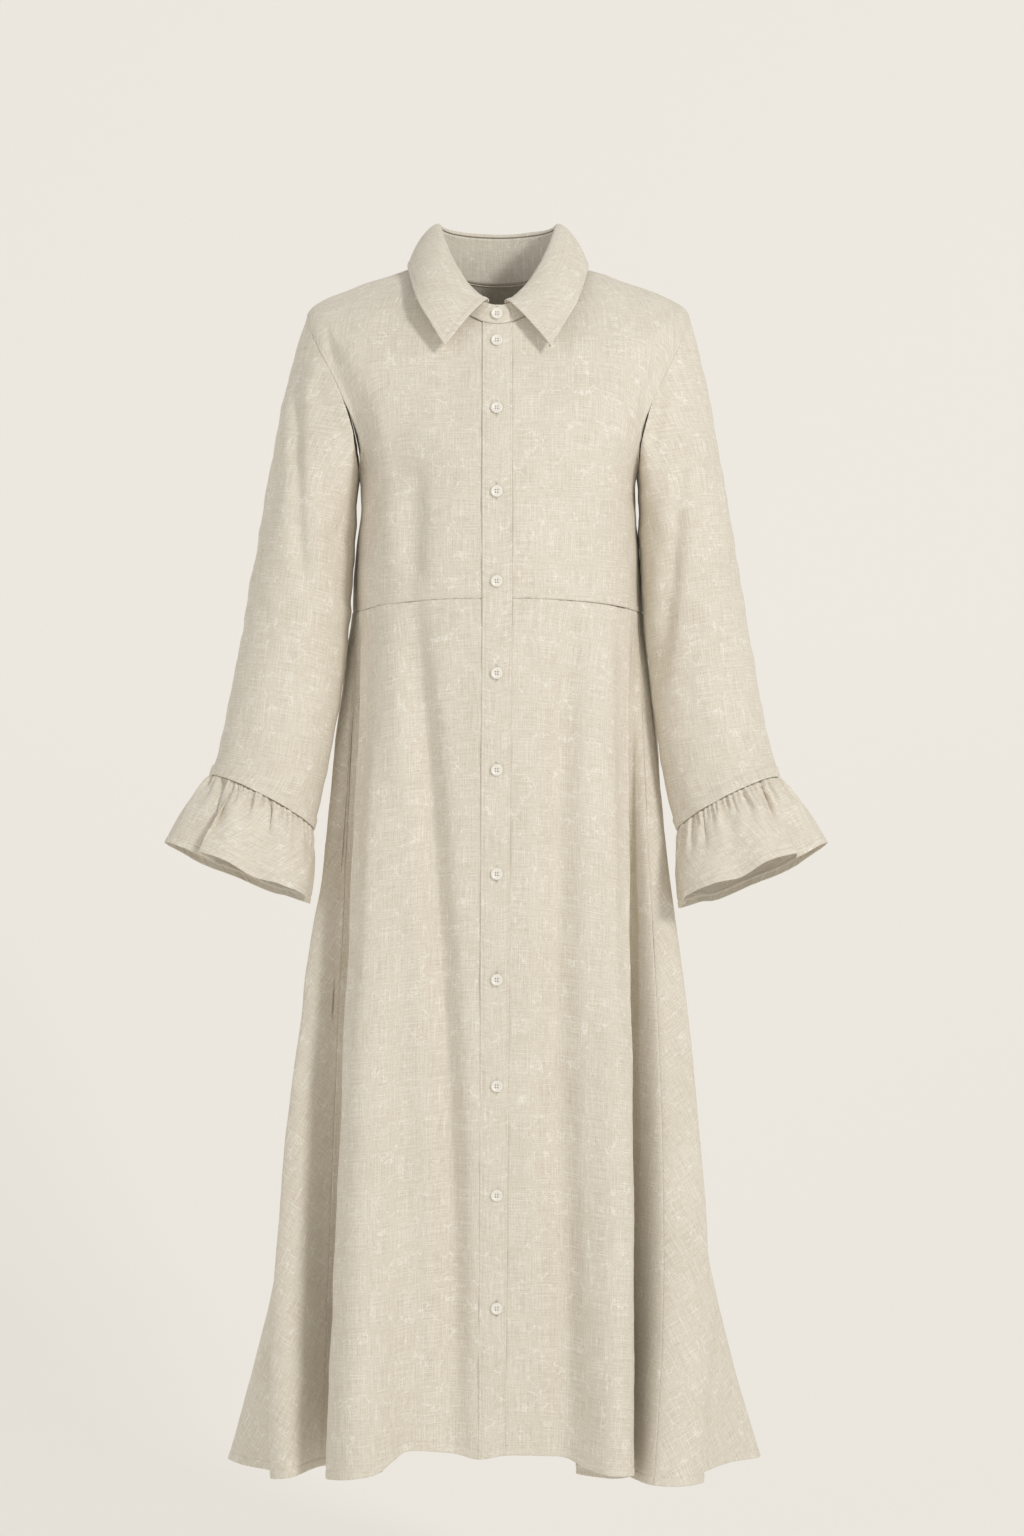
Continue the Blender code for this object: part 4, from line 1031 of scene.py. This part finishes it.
SHARP_GATHERS = {
    "right": (
        (12, -4, 0.3, 1.8, 1.2), (24, -3, 0.2, 1.6, 1.2), (34, -6, 0.45, 2.2, 1.6),
        (44.8, -2, 0.16, 1.5, 1.5), (50, 14, 1.0, 4.2, 4.2), (58.6, 4, 0.22, 1.5, 1.6),
        (62.5, 3, 0.3, 1.5, 1.8), (67.6, 2, 0.16, 1.5, 1.8), (71, 1, 0.35, 1.6, 1.4),
        (74.8, 0, 0.18, 1.4, 1.8), (80, -3, 0.26, 1.6, 1.3), (86, -4, 0.42, 1.8, 2.2),
        (91, 0, 0.14, 1.3, 1.2), (97, 2, 0.2, 1.6, 2.0), (104.7, 12, 0.75, 2.6, 3.2),
        (112, 3, 0.2, 1.5, 1.2), (118, 2, 0.3, 1.6, 1.4), (124, 2, 0.42, 1.8, 2.0),
        (132, 2, 0.24, 1.5, 1.6), (140, 0, 0.3, 1.7, 1.4), (149.7, 2, 0.2, 1.6, 1.6),
        (160, 0, 0.5, 2.4, 2.0),
    ),
    "left": (
        (10, -3, 0.3, 1.8, 1.2), (22, 4, 0.5, 2.0, 1.6), (34, 3, 0.26, 1.6, 1.3),
        (44, 5, 0.4, 1.8, 1.5), (54.5, 16, 0.85, 3.4, 4.2), (66, -2, 0.22, 1.6, 1.6),
        (72, 2, 0.3, 1.6, 1.5), (79, 3, 0.45, 1.8, 2.0), (85, 3, 0.24, 1.5, 1.8),
        (91, 4, 0.38, 1.8, 2.0), (97, 3, 0.2, 1.5, 1.8), (103, 2, 0.34, 1.7, 1.8),
        (109, 2, 0.2, 1.5, 1.8), (114, 1, 0.26, 1.5, 1.8), (119.5, 1, 0.2, 1.5, 1.8),
        (125, 2, 0.7, 2.6, 3.0), (132, 0, 0.22, 1.5, 1.8), (139, 2, 0.6, 2.2, 2.4),
        (147, 0, 0.28, 1.7, 1.8), (156, 0, 0.5, 2.2, 2.0), (166, 0, 0.3, 1.8, 1.5),
    ),
}


def ruffle_surface(side, degrees, down):
    """Places on a ruffle: degrees round the cuff seam, down from 0 to 1."""
    degrees, down = np.broadcast_arrays(np.asarray(degrees, float), np.asarray(down, float))
    rows = RUFFLES[side]
    starts = table_column(rows, RUFFLE_COLUMNS, "seam_deg")
    ends = table_column(rows, RUFFLE_COLUMNS, "hem_deg")
    shifts = [end - start for start, end in zip(starts, ends)]
    place = np.interp(degrees, starts + [starts[0] + 360], np.arange(len(starts) + 1))
    hem_deg = degrees + curve_value(shifts, place, closed=True)
    reach = curve_value(table_column(rows, RUFFLE_COLUMNS, "reach"), place, closed=True)[..., None]
    drop = curve_value(table_column(rows, RUFFLE_COLUMNS, "drop"), place, closed=True)
    hem = RUFFLE_HEM[side]
    outer_x, outer_z = hem["outer"]
    half_width = math.hypot(outer_x, outer_z)
    cosine, sine = (part[..., None] for part in cos_sin(hem_deg))
    wide = np.array((outer_x, 0, outer_z)) * (1 + reach / half_width)
    deep = np.array((0, -1, CUFF_PITCH)) * (hem["half_depth"] + reach)
    end = np.array(hem["centre"]) + wide * cosine + deep * sine - stack(0.0, 0.0, drop)
    start = sleeve_section(side, CUFF_SEAM, degrees)
    middle = (sleeve_section(side, CUFF_SEAM, 0) + sleeve_section(side, CUFF_SEAM, 180)) / 2
    outward = unit(start - middle)
    belly = RUFFLE_BELLY * np.sin(math.pi * down)
    rise = GATHER_AT_SEAM + (1 - GATHER_AT_SEAM) * smooth_step(down / GATHER_FULL)
    rise = rise * (1 - smooth_step((down - GATHER_FULL) / (GATHER_END - GATHER_FULL)))
    wave = np.cos(np.radians(degrees * GATHERS + 22 * np.sin(np.radians(degrees * 3))))
    ripple = GATHER_HEIGHT * rise * wave
    return start + (end - start) * down[..., None] + outward * (belly + ripple)[..., None]


def sharp_gathers(degrees, down, side, seed):
    """Narrow gathers under the seam: listed one by one in front, uneven behind."""
    numbers = np.random.default_rng(seed)
    rows = list(SHARP_GATHERS[side])
    for centre in np.arange(176, 356, 8.5):
        rows.append((centre + numbers.uniform(-2.5, 2.5), numbers.uniform(-5, 5),
                     numbers.choice((0.16, 0.26, 0.5)), numbers.uniform(1.3, 2.2),
                     numbers.uniform(0.8, 1.8)))
    depth = np.zeros(np.broadcast_shapes(np.shape(degrees), np.shape(down)))
    for centre, lean, length, width, height in rows:
        away = (degrees - centre - down * lean + 180) % 360 - 180
        reach = (away / (width * GATHER_WIDTH * (0.8 + 2.4 * down))) ** 2
        fade = smooth_step((length - down) / length * 1.5)
        depth -= height * GATHER_DEPTH * fade * (1 - 0.45 * reach) * np.exp(-reach / 1.3)
    return depth


ruffle_cloth = []
for number, side in enumerate(("right", "left")):
    downs = fine_steps(RUFFLE_FINE_ROWS, RUFFLE_LENGTH, SEAM_STEPS, RUFFLE_HEM_STEPS)[:, None]
    degrees = np.linspace(0, 360, RUFFLE_FINE_COLUMNS, endpoint=False)[None, :]
    centre_x, centre_y, _ = RUFFLE_HEM[side]["centre"]
    ruffle = measure(ruffle_surface(side, degrees, downs),
                     lambda points: stack(centre_x, centre_y, points[..., 2]), closed=True)
    sewn = GATHER_SEWN + (1 - GATHER_SEWN) * smooth_step(ruffle.from_top / 5)
    press(ruffle, sharp_gathers(degrees, downs, side, 41 + number) * sewn
          + seam(ruffle.from_top, 0.5, 1.2) + topstitch(ruffle.from_bottom, RUFFLE_STITCH, 0.3, 0.8)
          + puckers(ruffle.from_first, ruffle.from_bottom, 13, 0.3, 12, 43 + number)
          + waves(ruffle, (0.35, 34, 45 + number, 1)))
    ruffle_cloth.append(ruffle)
    item = make_shell(f"cloth_ruffle_{side}", ruffle, RUFFLE_SHELL)
    sew_in(item, f"ruffle_{side}", linen, (0.48, 0.1), 0.045)


# Buttoned band
# A doubled strip of linen from the neck seam to the hem, over the waist seam. Its
# free edge is at the wearer's right and its other edge is stitched to the left front.
BAND_LIFT = 1.8
BAND_COLUMNS = 16
BODICE_BAND_ROWS = 90
SKIRT_BAND_ROWS = 150
BAND_SHELL = 1.4
BAND_STITCH = 2.4
BAND_EDGE_STEPS = (0.5, 1.0, 1.6, 2.2, 2.8, 3.6)


def band_surface(x, level):
    """Places on the band. Levels 9 to 0 are the bodice, then -1 is the hem."""
    x, level = np.broadcast_arrays(np.asarray(x, float), np.asarray(level, float))
    above = np.maximum(level, 0.0)
    upper = body_surface(above, degrees_at_x(above, x), BAND_LIFT)
    place = BAND_ROW + (x - BAND_LEFT) / BAND_SPAN
    lower = skirt_surface(place, np.maximum(-level, 0.0), BAND_LIFT)
    return np.where(level[..., None] >= 0, upper, lower)


band_levels = np.concatenate([np.linspace(NECK, 0, BODICE_BAND_ROWS),
                              -fine_steps(SKIRT_BAND_ROWS, SKIRT_LENGTH, (), HEM_STEPS)[1:]])
band_shares = fine_steps(BAND_COLUMNS, BAND_SPAN, BAND_EDGE_STEPS, BAND_EDGE_STEPS)
band_x = BAND_LEFT + (BAND_SPAN - 0.3) * band_shares
band = measure(band_surface(band_x[None, :], band_levels[:, None]), body_axis)
edge_distance = np.minimum(band.from_first, band.from_last)
press(band, seam(edge_distance, 0.5, 0.8) + topstitch(edge_distance, BAND_STITCH, 0.12)
      + waves(band, (0.22, 40, 51, 1), (0.1, 15, 52, 1)))
band_item = make_shell("cloth_button_band", band, BAND_SHELL)
sew_in(band_item, "button_band", linen, (0.033, 1.27),
       0.04)


# Collar stand
# A stiffened strip of linen round the neck. Its rounded right end laps over the left
# end in front and carries the top button.
FOLD_HALF_WIDTH = 62
FOLD_FRONT_Y = 78
FOLD_BACK_Y = 58
FOLD_FRONT_Z = -49
FOLD_SIDE_Z = 45
FOLD_BACK_Z = 44
STAND_LAP = 2.2
STAND_LAP_ENDS = 12
STAND_LAP_FADE = 30
STAND_CEILING = 0.98
STAND_FLOOR = 0.02
STAND_END = ((10.0, 0.5), (9.4, 0.66), (8.0, 0.8), (5.0, 0.93), (2.0, 1.0), (-3.0, 1.0))
STAND_ROWS = 22
STAND_COLUMNS = 190
STAND_END_COLUMNS = 22
STAND_STITCH = 2.2
COLLAR_SHELL = 1.4
UNDER_LAP_DEG = -366.0


def horizontal(degrees):
    cosine, sine = cos_sin(degrees)
    return stack(sine, -cosine, 0.0)


def fold_line(degrees):
    """The collar's fold line, at the top of the stand."""
    cosine, sine = cos_sin(degrees)
    forward = cosine > 0
    reach = np.where(forward, FOLD_FRONT_Y, FOLD_BACK_Y)
    end_z = np.where(forward, FOLD_FRONT_Z, FOLD_BACK_Z)
    z = FOLD_SIDE_Z + (end_z - FOLD_SIDE_Z) * np.abs(cosine) ** HEIGHT_ROUNDING
    return stack(FOLD_HALF_WIDTH * sine, -reach * cosine, z)


def lap_out(degrees):
    return STAND_LAP * (1 - smooth_step((-degrees - STAND_LAP_ENDS) / STAND_LAP_FADE))


def stand_surface(degrees, height):
    """Places on the stand: height is 0 at the neck seam and 1 at the fold line."""
    degrees, height = np.broadcast_arrays(np.asarray(degrees, float), np.asarray(height, float))
    bottom = body_surface(NECK, degrees)
    top = fold_line(degrees)
    return (bottom + (top - bottom) * height[..., None]
            + horizontal(degrees) * lap_out(degrees)[..., None])


end_degrees, end_heights = zip(*STAND_END)
last_end = end_degrees[-1]
stand_degrees = np.concatenate([np.linspace(end_degrees[0], last_end, STAND_END_COLUMNS),
                                np.linspace(last_end, UNDER_LAP_DEG, STAND_COLUMNS)[1:]])
stand_tops = np.interp(-stand_degrees, -np.array(end_degrees), end_heights)
stand_rows = np.linspace(0, 1, STAND_ROWS)[:, None]
stand_heights = STAND_FLOOR + (stand_tops * STAND_CEILING - STAND_FLOOR) * stand_rows
stand = measure(stand_surface(stand_degrees[None, :], stand_heights),
                lambda points: points * np.array((0.0, 0.0, 1.0)))
press(stand, topstitch(stand.from_bottom, STAND_STITCH, 0.0) * 0.6 - seam(stand.from_first, 0.2, 3)
      + waves(stand, (0.12, 24, 61, 1)))
stand_item = make_shell("cloth_collar_stand", stand, COLLAR_SHELL)
sew_in(stand_item, "collar_stand", linen, (0.46, 0.036),
       0.0155)


# Collar
# The fall: doubled linen with two points, turned over the stand's top edge and
# topstitched near its edge.
FALL_COLUMNS = ("fold_deg", "x", "y", "z")
FALL_EDGE = (
    ("right point", -9, -55.6, -104, -96),
    ("right front edge", -32, -72, -95, -68),
    ("right front side", -52, -85, -78, -44),
    ("right side", -72, -93, -48, -18),
    ("right shoulder", -92, -97, -8, 5),
    ("right back", -125, -84, 52, 4),
    ("right back centre", -155, -42, 86, -4),
    ("back centre", -180, 0, 93, -6),
)
FALL_ENDS = (-9.0, -353.0)
ROLL_HEIGHT = 13
ROLL_LEAN = 2
FALL_TURN = 0.4
FALL_BULGE = 9
SEAM_GAP = 0.3
COLLAR_WALL = 1.5
FALL_COLUMN_COUNT = 230
FALL_ROW_COUNT = 40
FALL_SIZE = (75, 470)
FALL_STITCH = 6.5
FALL_STITCH_STEPS = (5.6, 6.2, 6.8, 7.4)


def fall_place(degrees):
    """Places in the fall table for angles, the same on both sides."""
    angles = table_column(FALL_EDGE, FALL_COLUMNS, "fold_deg")
    return np.interp(np.abs(degrees), [-angle for angle in angles], np.arange(len(angles)))


def fall_surface(degrees, share):
    """Places on the fall: share is 0 at the fold line and 1 at its outer edge."""
    degrees, share = np.broadcast_arrays(np.asarray(degrees, float), np.asarray(share, float))
    row = table_values(FALL_EDGE, FALL_COLUMNS, fall_place(degrees))
    edge = stack(np.where(degrees > 0, -row["x"], row["x"]), row["y"], row["z"])
    outward = horizontal(degrees)
    lap = np.where(degrees < 0, lap_out(degrees), 0.0)
    along = fold_line(degrees - 1) - fold_line(degrees + 1)
    rise = unit(np.cross(outward, along))
    rise = rise * np.sign(rise[..., 2:3])
    start = fold_line(degrees) + outward * (lap - COLLAR_WALL)[..., None] + rise * SEAM_GAP
    second = start + rise * ROLL_HEIGHT + outward * ROLL_LEAN
    third = start + (edge - start) * FALL_TURN + outward * FALL_BULGE + rise * ROLL_HEIGHT
    share = share[..., None]
    rest = 1 - share
    return (start * rest ** 3 + second * 3 * rest * rest * share
            + third * 3 * rest * share * share + edge * share ** 3)


end_steps = (1, 2, *FALL_STITCH_STEPS)
fall_steps = fine_steps(FALL_COLUMN_COUNT, FALL_SIZE[1], end_steps, end_steps)
fall_degrees = FALL_ENDS[0] + (FALL_ENDS[1] - FALL_ENDS[0]) * fall_steps
fall_degrees = np.where(fall_degrees < -180, fall_degrees + 360, fall_degrees)
fall_shares = fine_steps(FALL_ROW_COUNT, FALL_SIZE[0], (), (0.8, 1.8, *FALL_STITCH_STEPS))
fall = measure(fall_surface(fall_degrees[None, :], fall_shares[:, None]),
               lambda points: points * np.array((0.0, 0.0, 1.0)) - np.array((0.0, 0.0, 60.0)))
fall_edge = np.minimum(np.minimum(fall.from_first, fall.from_last), fall.from_bottom)
press(fall, topstitch(fall_edge, FALL_STITCH, 0.35, 0.9) + seam(fall_edge, 0.35, 0.9)
      + 0.25 * uneven(fall.points[..., 0], fall.points[..., 1] + fall.points[..., 2], 40, 71))
fall_item = make_shell("cloth_collar", fall, COLLAR_SHELL)
sew_in(fall_item, "collar", linen, (0.56, 0.08), 0.036)


# Stitching
# Lines of linen-coloured thread, each stitch a small rounded bar: along the band, the
# hem, the collar and its stand, the armholes and the ruffles' hems.
STITCH_PITCH = 3.1
STITCH_LENGTH = 2.3
STITCH_WIDTH = 0.5
STITCH_HEIGHT = 0.26
THREAD_COLOUR = (0.87, 0.83, 0.755, 1)


def line_at(cloth, distance, edge, keep=slice(None)):
    """Points and normals at a distance from one edge of a cloth grid, on the lines kept."""
    grids = (getattr(cloth, edge), cloth.points, cloth.normals)
    if edge in ("from_top", "from_bottom"):
        grids = [np.swapaxes(grid, 0, 1) for grid in grids]
    found = []
    for away, *lines in zip(*(grid[keep] for grid in grids)):
        order = np.argsort(away)
        found.append([[np.interp(distance, away[order], line[order, axis]) for axis in range(3)]
                      for line in lines])
    return np.array(found).swapaxes(0, 1)


def stitch_places(points, normals, pitch=STITCH_PITCH):
    """Centres, directions and normals of evenly spaced stitches along a line."""
    steps = np.linalg.norm(np.diff(points, axis=0), axis=1)
    along = np.concatenate([[0], np.cumsum(steps)])
    stops = np.arange(pitch / 2, along[-1], pitch)

    def read(values, places):
        return np.stack([np.interp(places, along, values[:, axis]) for axis in range(3)], axis=1)

    along_line = unit(read(points, stops + 0.5) - read(points, stops - 0.5))
    return np.stack([read(points, stops), along_line, unit(read(normals, stops))])


def bars(name, places, length, width, height, material):
    """One mesh of small rounded bars with sunk ends, such as stitches."""
    centres, directions, normals = places
    sides = unit(np.cross(directions, normals))
    corners = []
    for share in (-0.32, 0.32):
        for across, up in ((-1, 0.0), (0, 1.0), (1, 0.0), (0, -1.0)):
            corners.append(centres + directions * length * share + sides * across * width / 2
                           + normals * up * height)
    corners.append(centres - directions * length / 2 - normals * height * 0.6)
    corners.append(centres + directions * length / 2 - normals * height * 0.6)
    points = np.stack(corners, axis=1)
    pattern = []
    for turn in range(4):
        following = (turn + 1) % 4
        pattern.append((turn, following, following + 4, turn + 4))
        pattern.append((following, turn, 8, 8))
        pattern.append((turn + 4, following + 4, 9, 9))
    faces = []
    for start in range(0, len(centres) * 10, 10):
        faces += [[start + corner for corner in dict.fromkeys(face)] for face in pattern]
    mesh = bpy.data.meshes.new(name)
    mesh.from_pydata((points.reshape(-1, 3) * MM).tolist(), [], faces)
    mesh.shade_smooth()
    mesh.materials.append(material)
    item = add_item(name, mesh)
    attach(item, "root")
    return item


def shaded(tree, value, colour, share):
    """A colour that sinks to a share of itself where a value is low."""
    ramp = add_node(tree, "ShaderNodeValToRGB", {"Fac": value})
    ramp.color_ramp.elements[0].color = tuple(part * share for part in colour[:3]) + (1,)
    ramp.color_ramp.elements[1].color = colour
    return ramp.outputs["Color"]


def make_thread(name, colour):
    """Spun thread: a little glossier than the cloth, with a fine twist along it."""
    material, tree, shader = new_material(name)
    place = add_node(tree, "ShaderNodeTexCoord").outputs["Object"]
    twist = noise_value(tree, place, 1800.0, 1.0)
    bump = add_node(tree, "ShaderNodeBump", {"Strength": 0.4, "Distance": 0.0001, "Height": twist})
    feed(tree, shader, {"Base Color": shaded(tree, twist, colour, 0.82), "Roughness": 0.7,
                        "Normal": bump.outputs["Normal"]})
    return material


thread = make_thread("thread", THREAD_COLOUR)
fall_ends = np.minimum(fall.from_first, fall.from_last)[-1]
stitch_lines = {
    "band": [line_at(band, BAND_STITCH, edge) for edge in ("from_first", "from_last")],
    "hem": [line_at(cloth, HEM_STITCH, "from_bottom") for cloth in hem_edges],
    "ruffles": [line_at(cloth, RUFFLE_STITCH, "from_bottom") for cloth in ruffle_cloth],
    "stand": [line_at(stand, STAND_STITCH, "from_bottom")],
    "collar": [line_at(fall, FALL_STITCH, "from_bottom", fall_ends > FALL_STITCH)]
    + [line_at(fall, FALL_STITCH, edge, fall.from_bottom[:, column] > FALL_STITCH)
       for edge, column in (("from_first", 0), ("from_last", -1))],
    "armholes": [line_at(cloth, SEAM_STITCH, "from_last", front_levels[:, 0] > ARMPIT + 0.2)
                 for cloth in front_cloth.values()]
    + [line_at(back, SEAM_STITCH, edge, back_levels[:, 0] > ARMPIT + 0.2)
       for edge in ("from_first", "from_last")],
}
for name, lines in stitch_lines.items():
    places = np.concatenate([stitch_places(*line) for line in lines], axis=1)
    bars(f"stitches_{name}", places, STITCH_LENGTH, STITCH_WIDTH, STITCH_HEIGHT, thread)


# Buttons
# Twelve ivory shirt buttons with a raised rim, a dished middle and four holes. Each
# is sewn on with two runs of thread, and shows through a stitched buttonhole.
BUTTON_HEIGHTS = (-59, -88, -162, -250, -343, -439, -540, -648.5, -759, -870, -984, -1102)
BUTTON_X = -1.0
BUTTON_GAP = 0.45
BUTTON_PROFILE = ((0.0, 1.25), (2.6, 1.3), (3.6, 1.55), (4.3, 2.0), (4.8, 2.22), (5.3, 2.2),
                  (5.8, 1.95), (6.15, 1.5), (6.2, 1.15), (6.0, 0.6), (5.2, 0.12), (4.2, 0.0),
                  (0.0, 0.0))
BUTTON_SIDES = 48
HOLE_RADIUS = 0.82
HOLE_PLACE = 1.25
IVORY = (0.90, 0.87, 0.80, 1)
IVORY_ROUGHNESS = (0.24, 0.42)
SEWING_SHIFT = 0.22
SEWING_LIFT = 1.35
HOLE_HALF_LENGTH = 8.6
HOLE_STITCH_PITCH = 0.5
HOLE_STITCH_SHIFT = 0.75
HOLE_STITCH_LIFT = 0.1
BAR_TACK = (-1.1, -0.55, 0.0, 0.55, 1.1)


def make_ivory(name):
    """Polished ivory resin with faint clouding and fine scratches in its gloss."""
    material, tree, shader = new_material(name)
    place = add_node(tree, "ShaderNodeTexCoord").outputs["Object"]
    scratches = noise_value(tree, place, 2400.0, 2.0)
    feed(tree, shader, {
        "Base Color": shaded(tree, noise_value(tree, place, 260.0, 3.0), IVORY, 0.93),
        "Roughness": map_range(tree, scratches, (0.0, 1.0), IVORY_ROUGHNESS),
    })
    return material


def level_at_front(z):
    levels = np.linspace(0, NECK, 600)
    return float(np.interp(z, ring_at(levels)["front_z"], levels))


def button_seat(z):
    """Centre, outward direction and upward direction of a button at a height."""
    waist = float(body_surface(0.0, 0.0)[2])
    neck = body_surface(NECK, 0.0)
    if z > neck[2]:
        share = (z - neck[2]) / (fold_line(0.0)[2] - neck[2])
        point = stand_surface(0.0, share)
        above = stand_surface(0.0, share + 0.1)
    elif z > waist:
        level = level_at_front(z)
        point = band_surface(0.0, level)
        above = band_surface(0.0, min(level + 0.05, NECK))
    else:
        hem = float(skirt_surface(BAND_ROW + 0.5, 1.0)[2])
        down = (waist - z) / (waist - hem)
        point = band_surface(0.0, -down)
        above = band_surface(0.0, -down + 0.02)
    rise = unit(above - point)
    outward = unit(np.cross(np.array((1.0, 0.0, 0.0)), rise))
    outward = outward if outward[1] < 0 else -outward
    point = np.array((BUTTON_X, point[1], point[2]))
    return point, outward, rise


def make_button_mesh():
    """A turned disc with four holes bored through it, facing +Z."""
    shape = bmesh.new()
    profile = [shape.verts.new((radius * MM, 0, height * MM)) for radius, height in BUTTON_PROFILE]
    edges = [shape.edges.new(pair) for pair in zip(profile, profile[1:])]
    bmesh.ops.spin(shape, geom=profile + edges, cent=(0, 0, 0), axis=(0, 0, 1),
                   angle=2 * math.pi, steps=BUTTON_SIDES)
    bmesh.ops.remove_doubles(shape, verts=shape.verts, dist=0.01 * MM)
    bmesh.ops.recalc_face_normals(shape, faces=shape.faces)
    disc = bpy.data.meshes.new("button disc")
    shape.to_mesh(disc)
    shape.free()
    body = add_item("button disc", disc)
    bores = bmesh.new()
    for side_x in (-1, 1):
        for side_y in (-1, 1):
            place = Matrix.Translation((side_x * HOLE_PLACE * MM, side_y * HOLE_PLACE * MM, MM))
            bmesh.ops.create_cone(bores, cap_ends=True, segments=20, radius1=HOLE_RADIUS * MM,
                                  radius2=HOLE_RADIUS * MM, depth=6 * MM, matrix=place)
    cutter_mesh = bpy.data.meshes.new("button bores")
    bores.to_mesh(cutter_mesh)
    bores.free()
    cutter = add_item("button bores", cutter_mesh)
    cut = body.modifiers.new("holes", "BOOLEAN")
    cut.object = cutter
    cut.operation = "DIFFERENCE"
    view_layer = bpy.context.view_layer
    view_layer.update()
    result = bpy.data.meshes.new_from_object(body.evaluated_get(view_layer.depsgraph))
    bpy.data.objects.remove(body)
    bpy.data.objects.remove(cutter)
    result.name = "button"
    result.shade_smooth()
    result.set_sharp_from_angle(angle=math.radians(38))
    return result


def seat_matrix(point, outward, rise):
    side = np.cross(rise, outward)
    columns = np.stack([side, rise, outward], axis=1)
    matrix = np.eye(4)
    matrix[:3, :3] = columns
    matrix[:3, 3] = point * MM
    return Matrix(matrix.tolist())


button_mesh = make_button_mesh()
button_mesh.materials.clear()
button_mesh.materials.append(make_ivory("ivory_button"))
sewing = []
hole_stitches = []
for number, height in enumerate(BUTTON_HEIGHTS, start=1):
    point, outward, rise = button_seat(height)
    across = np.cross(rise, outward)
    item = add_item(f"ivory_button_{number:02d}", button_mesh.copy())
    item.data.transform(seat_matrix(point + outward * BUTTON_GAP, outward, rise))
    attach(item, "root")
    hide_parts(f"button_{number:02d}")
    for shift in (-HOLE_PLACE, HOLE_PLACE):
        for layer in (-SEWING_SHIFT, SEWING_SHIFT):
            centre = point + across * (shift + layer) + outward * (BUTTON_GAP + SEWING_LIFT)
            sewing.append((centre, rise, outward))
    seat = point + outward * HOLE_STITCH_LIFT
    for turn in np.arange(-HOLE_HALF_LENGTH, HOLE_HALF_LENGTH, HOLE_STITCH_PITCH):
        for shift in (-HOLE_STITCH_SHIFT, HOLE_STITCH_SHIFT):
            hole_stitches.append((seat + rise * turn + across * shift, across, outward))
    for turn in (-HOLE_HALF_LENGTH - 0.2, HOLE_HALF_LENGTH + 0.2):
        for shift in BAR_TACK:
            hole_stitches.append((seat + rise * turn + across * shift, rise, outward))
bars("button_threads", np.swapaxes(sewing, 0, 1), 3.6, 0.42, 0.24, thread)
bars("buttonhole_stitches", np.swapaxes(hole_stitches, 0, 1), 1.3, 0.42, 0.22, thread)


# Studio
# A pale sweep behind and under the dress, a soft light from the camera's right and a
# larger, weaker one from its left.
FLOOR_HEIGHT = -1.5
SWEEP_BACK = 1.9
SWEEP_RADIUS = 1.2
SWEEP_FRONT = -6.0
SWEEP_HALF_WIDTH = 7.0
SWEEP_TOP = 4.5
SWEEP_STEPS = 24
SWEEP_LOOK = {"Base Color": (0.32, 0.315, 0.305, 1), "Roughness": 0.95, "Specular IOR Level": 0.0,
              "Emission Color": (0.575, 0.552, 0.508, 1), "Emission Strength": 1.0}
WORLD_LOOK = {"Color": (1.0, 0.975, 0.94, 1), "Strength": 0.5}
LIGHT_COLOUR = (1.0, 0.985, 0.955)
LIGHTS = {
    "key": ((2.2, -2.9, 1.2), 0.6, 62),
    "fill": ((-2.5, -3.2, 0.5), 2.2, 19),
}
LIGHT_TARGET = (0, 0, -0.55)


def make_sweep():
    """The sweep, seen from its front side alone, so that it hides nothing from behind."""
    profile = [(SWEEP_FRONT, FLOOR_HEIGHT)]
    for step in range(SWEEP_STEPS + 1):
        angle = math.radians(90 * step / SWEEP_STEPS)
        profile.append((SWEEP_BACK - SWEEP_RADIUS + SWEEP_RADIUS * math.sin(angle),
                        FLOOR_HEIGHT + SWEEP_RADIUS - SWEEP_RADIUS * math.cos(angle)))
    profile.append((SWEEP_BACK, SWEEP_TOP))
    vertices = [(side * SWEEP_HALF_WIDTH, y, z) for y, z in profile for side in (-1, 1)]
    faces = [(2 * row, 2 * row + 1, 2 * row + 3, 2 * row + 2) for row in range(len(profile) - 1)]
    mesh = bpy.data.meshes.new("sweep")
    mesh.from_pydata(vertices, [], faces)
    mesh.shade_smooth()
    material, tree, shader = new_material("sweep")
    feed(tree, shader, SWEEP_LOOK)
    facing = tree.nodes.new("ShaderNodeNewGeometry")
    clear = tree.nodes.new("ShaderNodeBsdfTransparent")
    mix = add_node(tree, "ShaderNodeMixShader", {"Fac": facing.outputs["Backfacing"],
                                                 1: shader.outputs["BSDF"], 2: clear.outputs["BSDF"]})
    feed(tree, tree.nodes["Material Output"], {"Surface": mix.outputs["Shader"]})
    mesh.materials.append(material)
    return add_item("sweep", mesh)


make_sweep()
for name, (place, size, power) in LIGHTS.items():
    lamp = bpy.data.lights.new(name, "AREA")
    lamp.size = size
    lamp.energy = power
    lamp.color = LIGHT_COLOUR
    item = add_item(name, lamp)
    item.location = place
    item.rotation_euler = (Vector(LIGHT_TARGET) - Vector(place)).to_track_quat("-Z", "Y").to_euler()
world = bpy.data.worlds.new("studio")
world.use_nodes = True
feed(world.node_tree, world.node_tree.nodes["Background"], WORLD_LOOK)
bpy.context.scene.world = world
bpy.context.scene.view_settings.view_transform = "Standard"
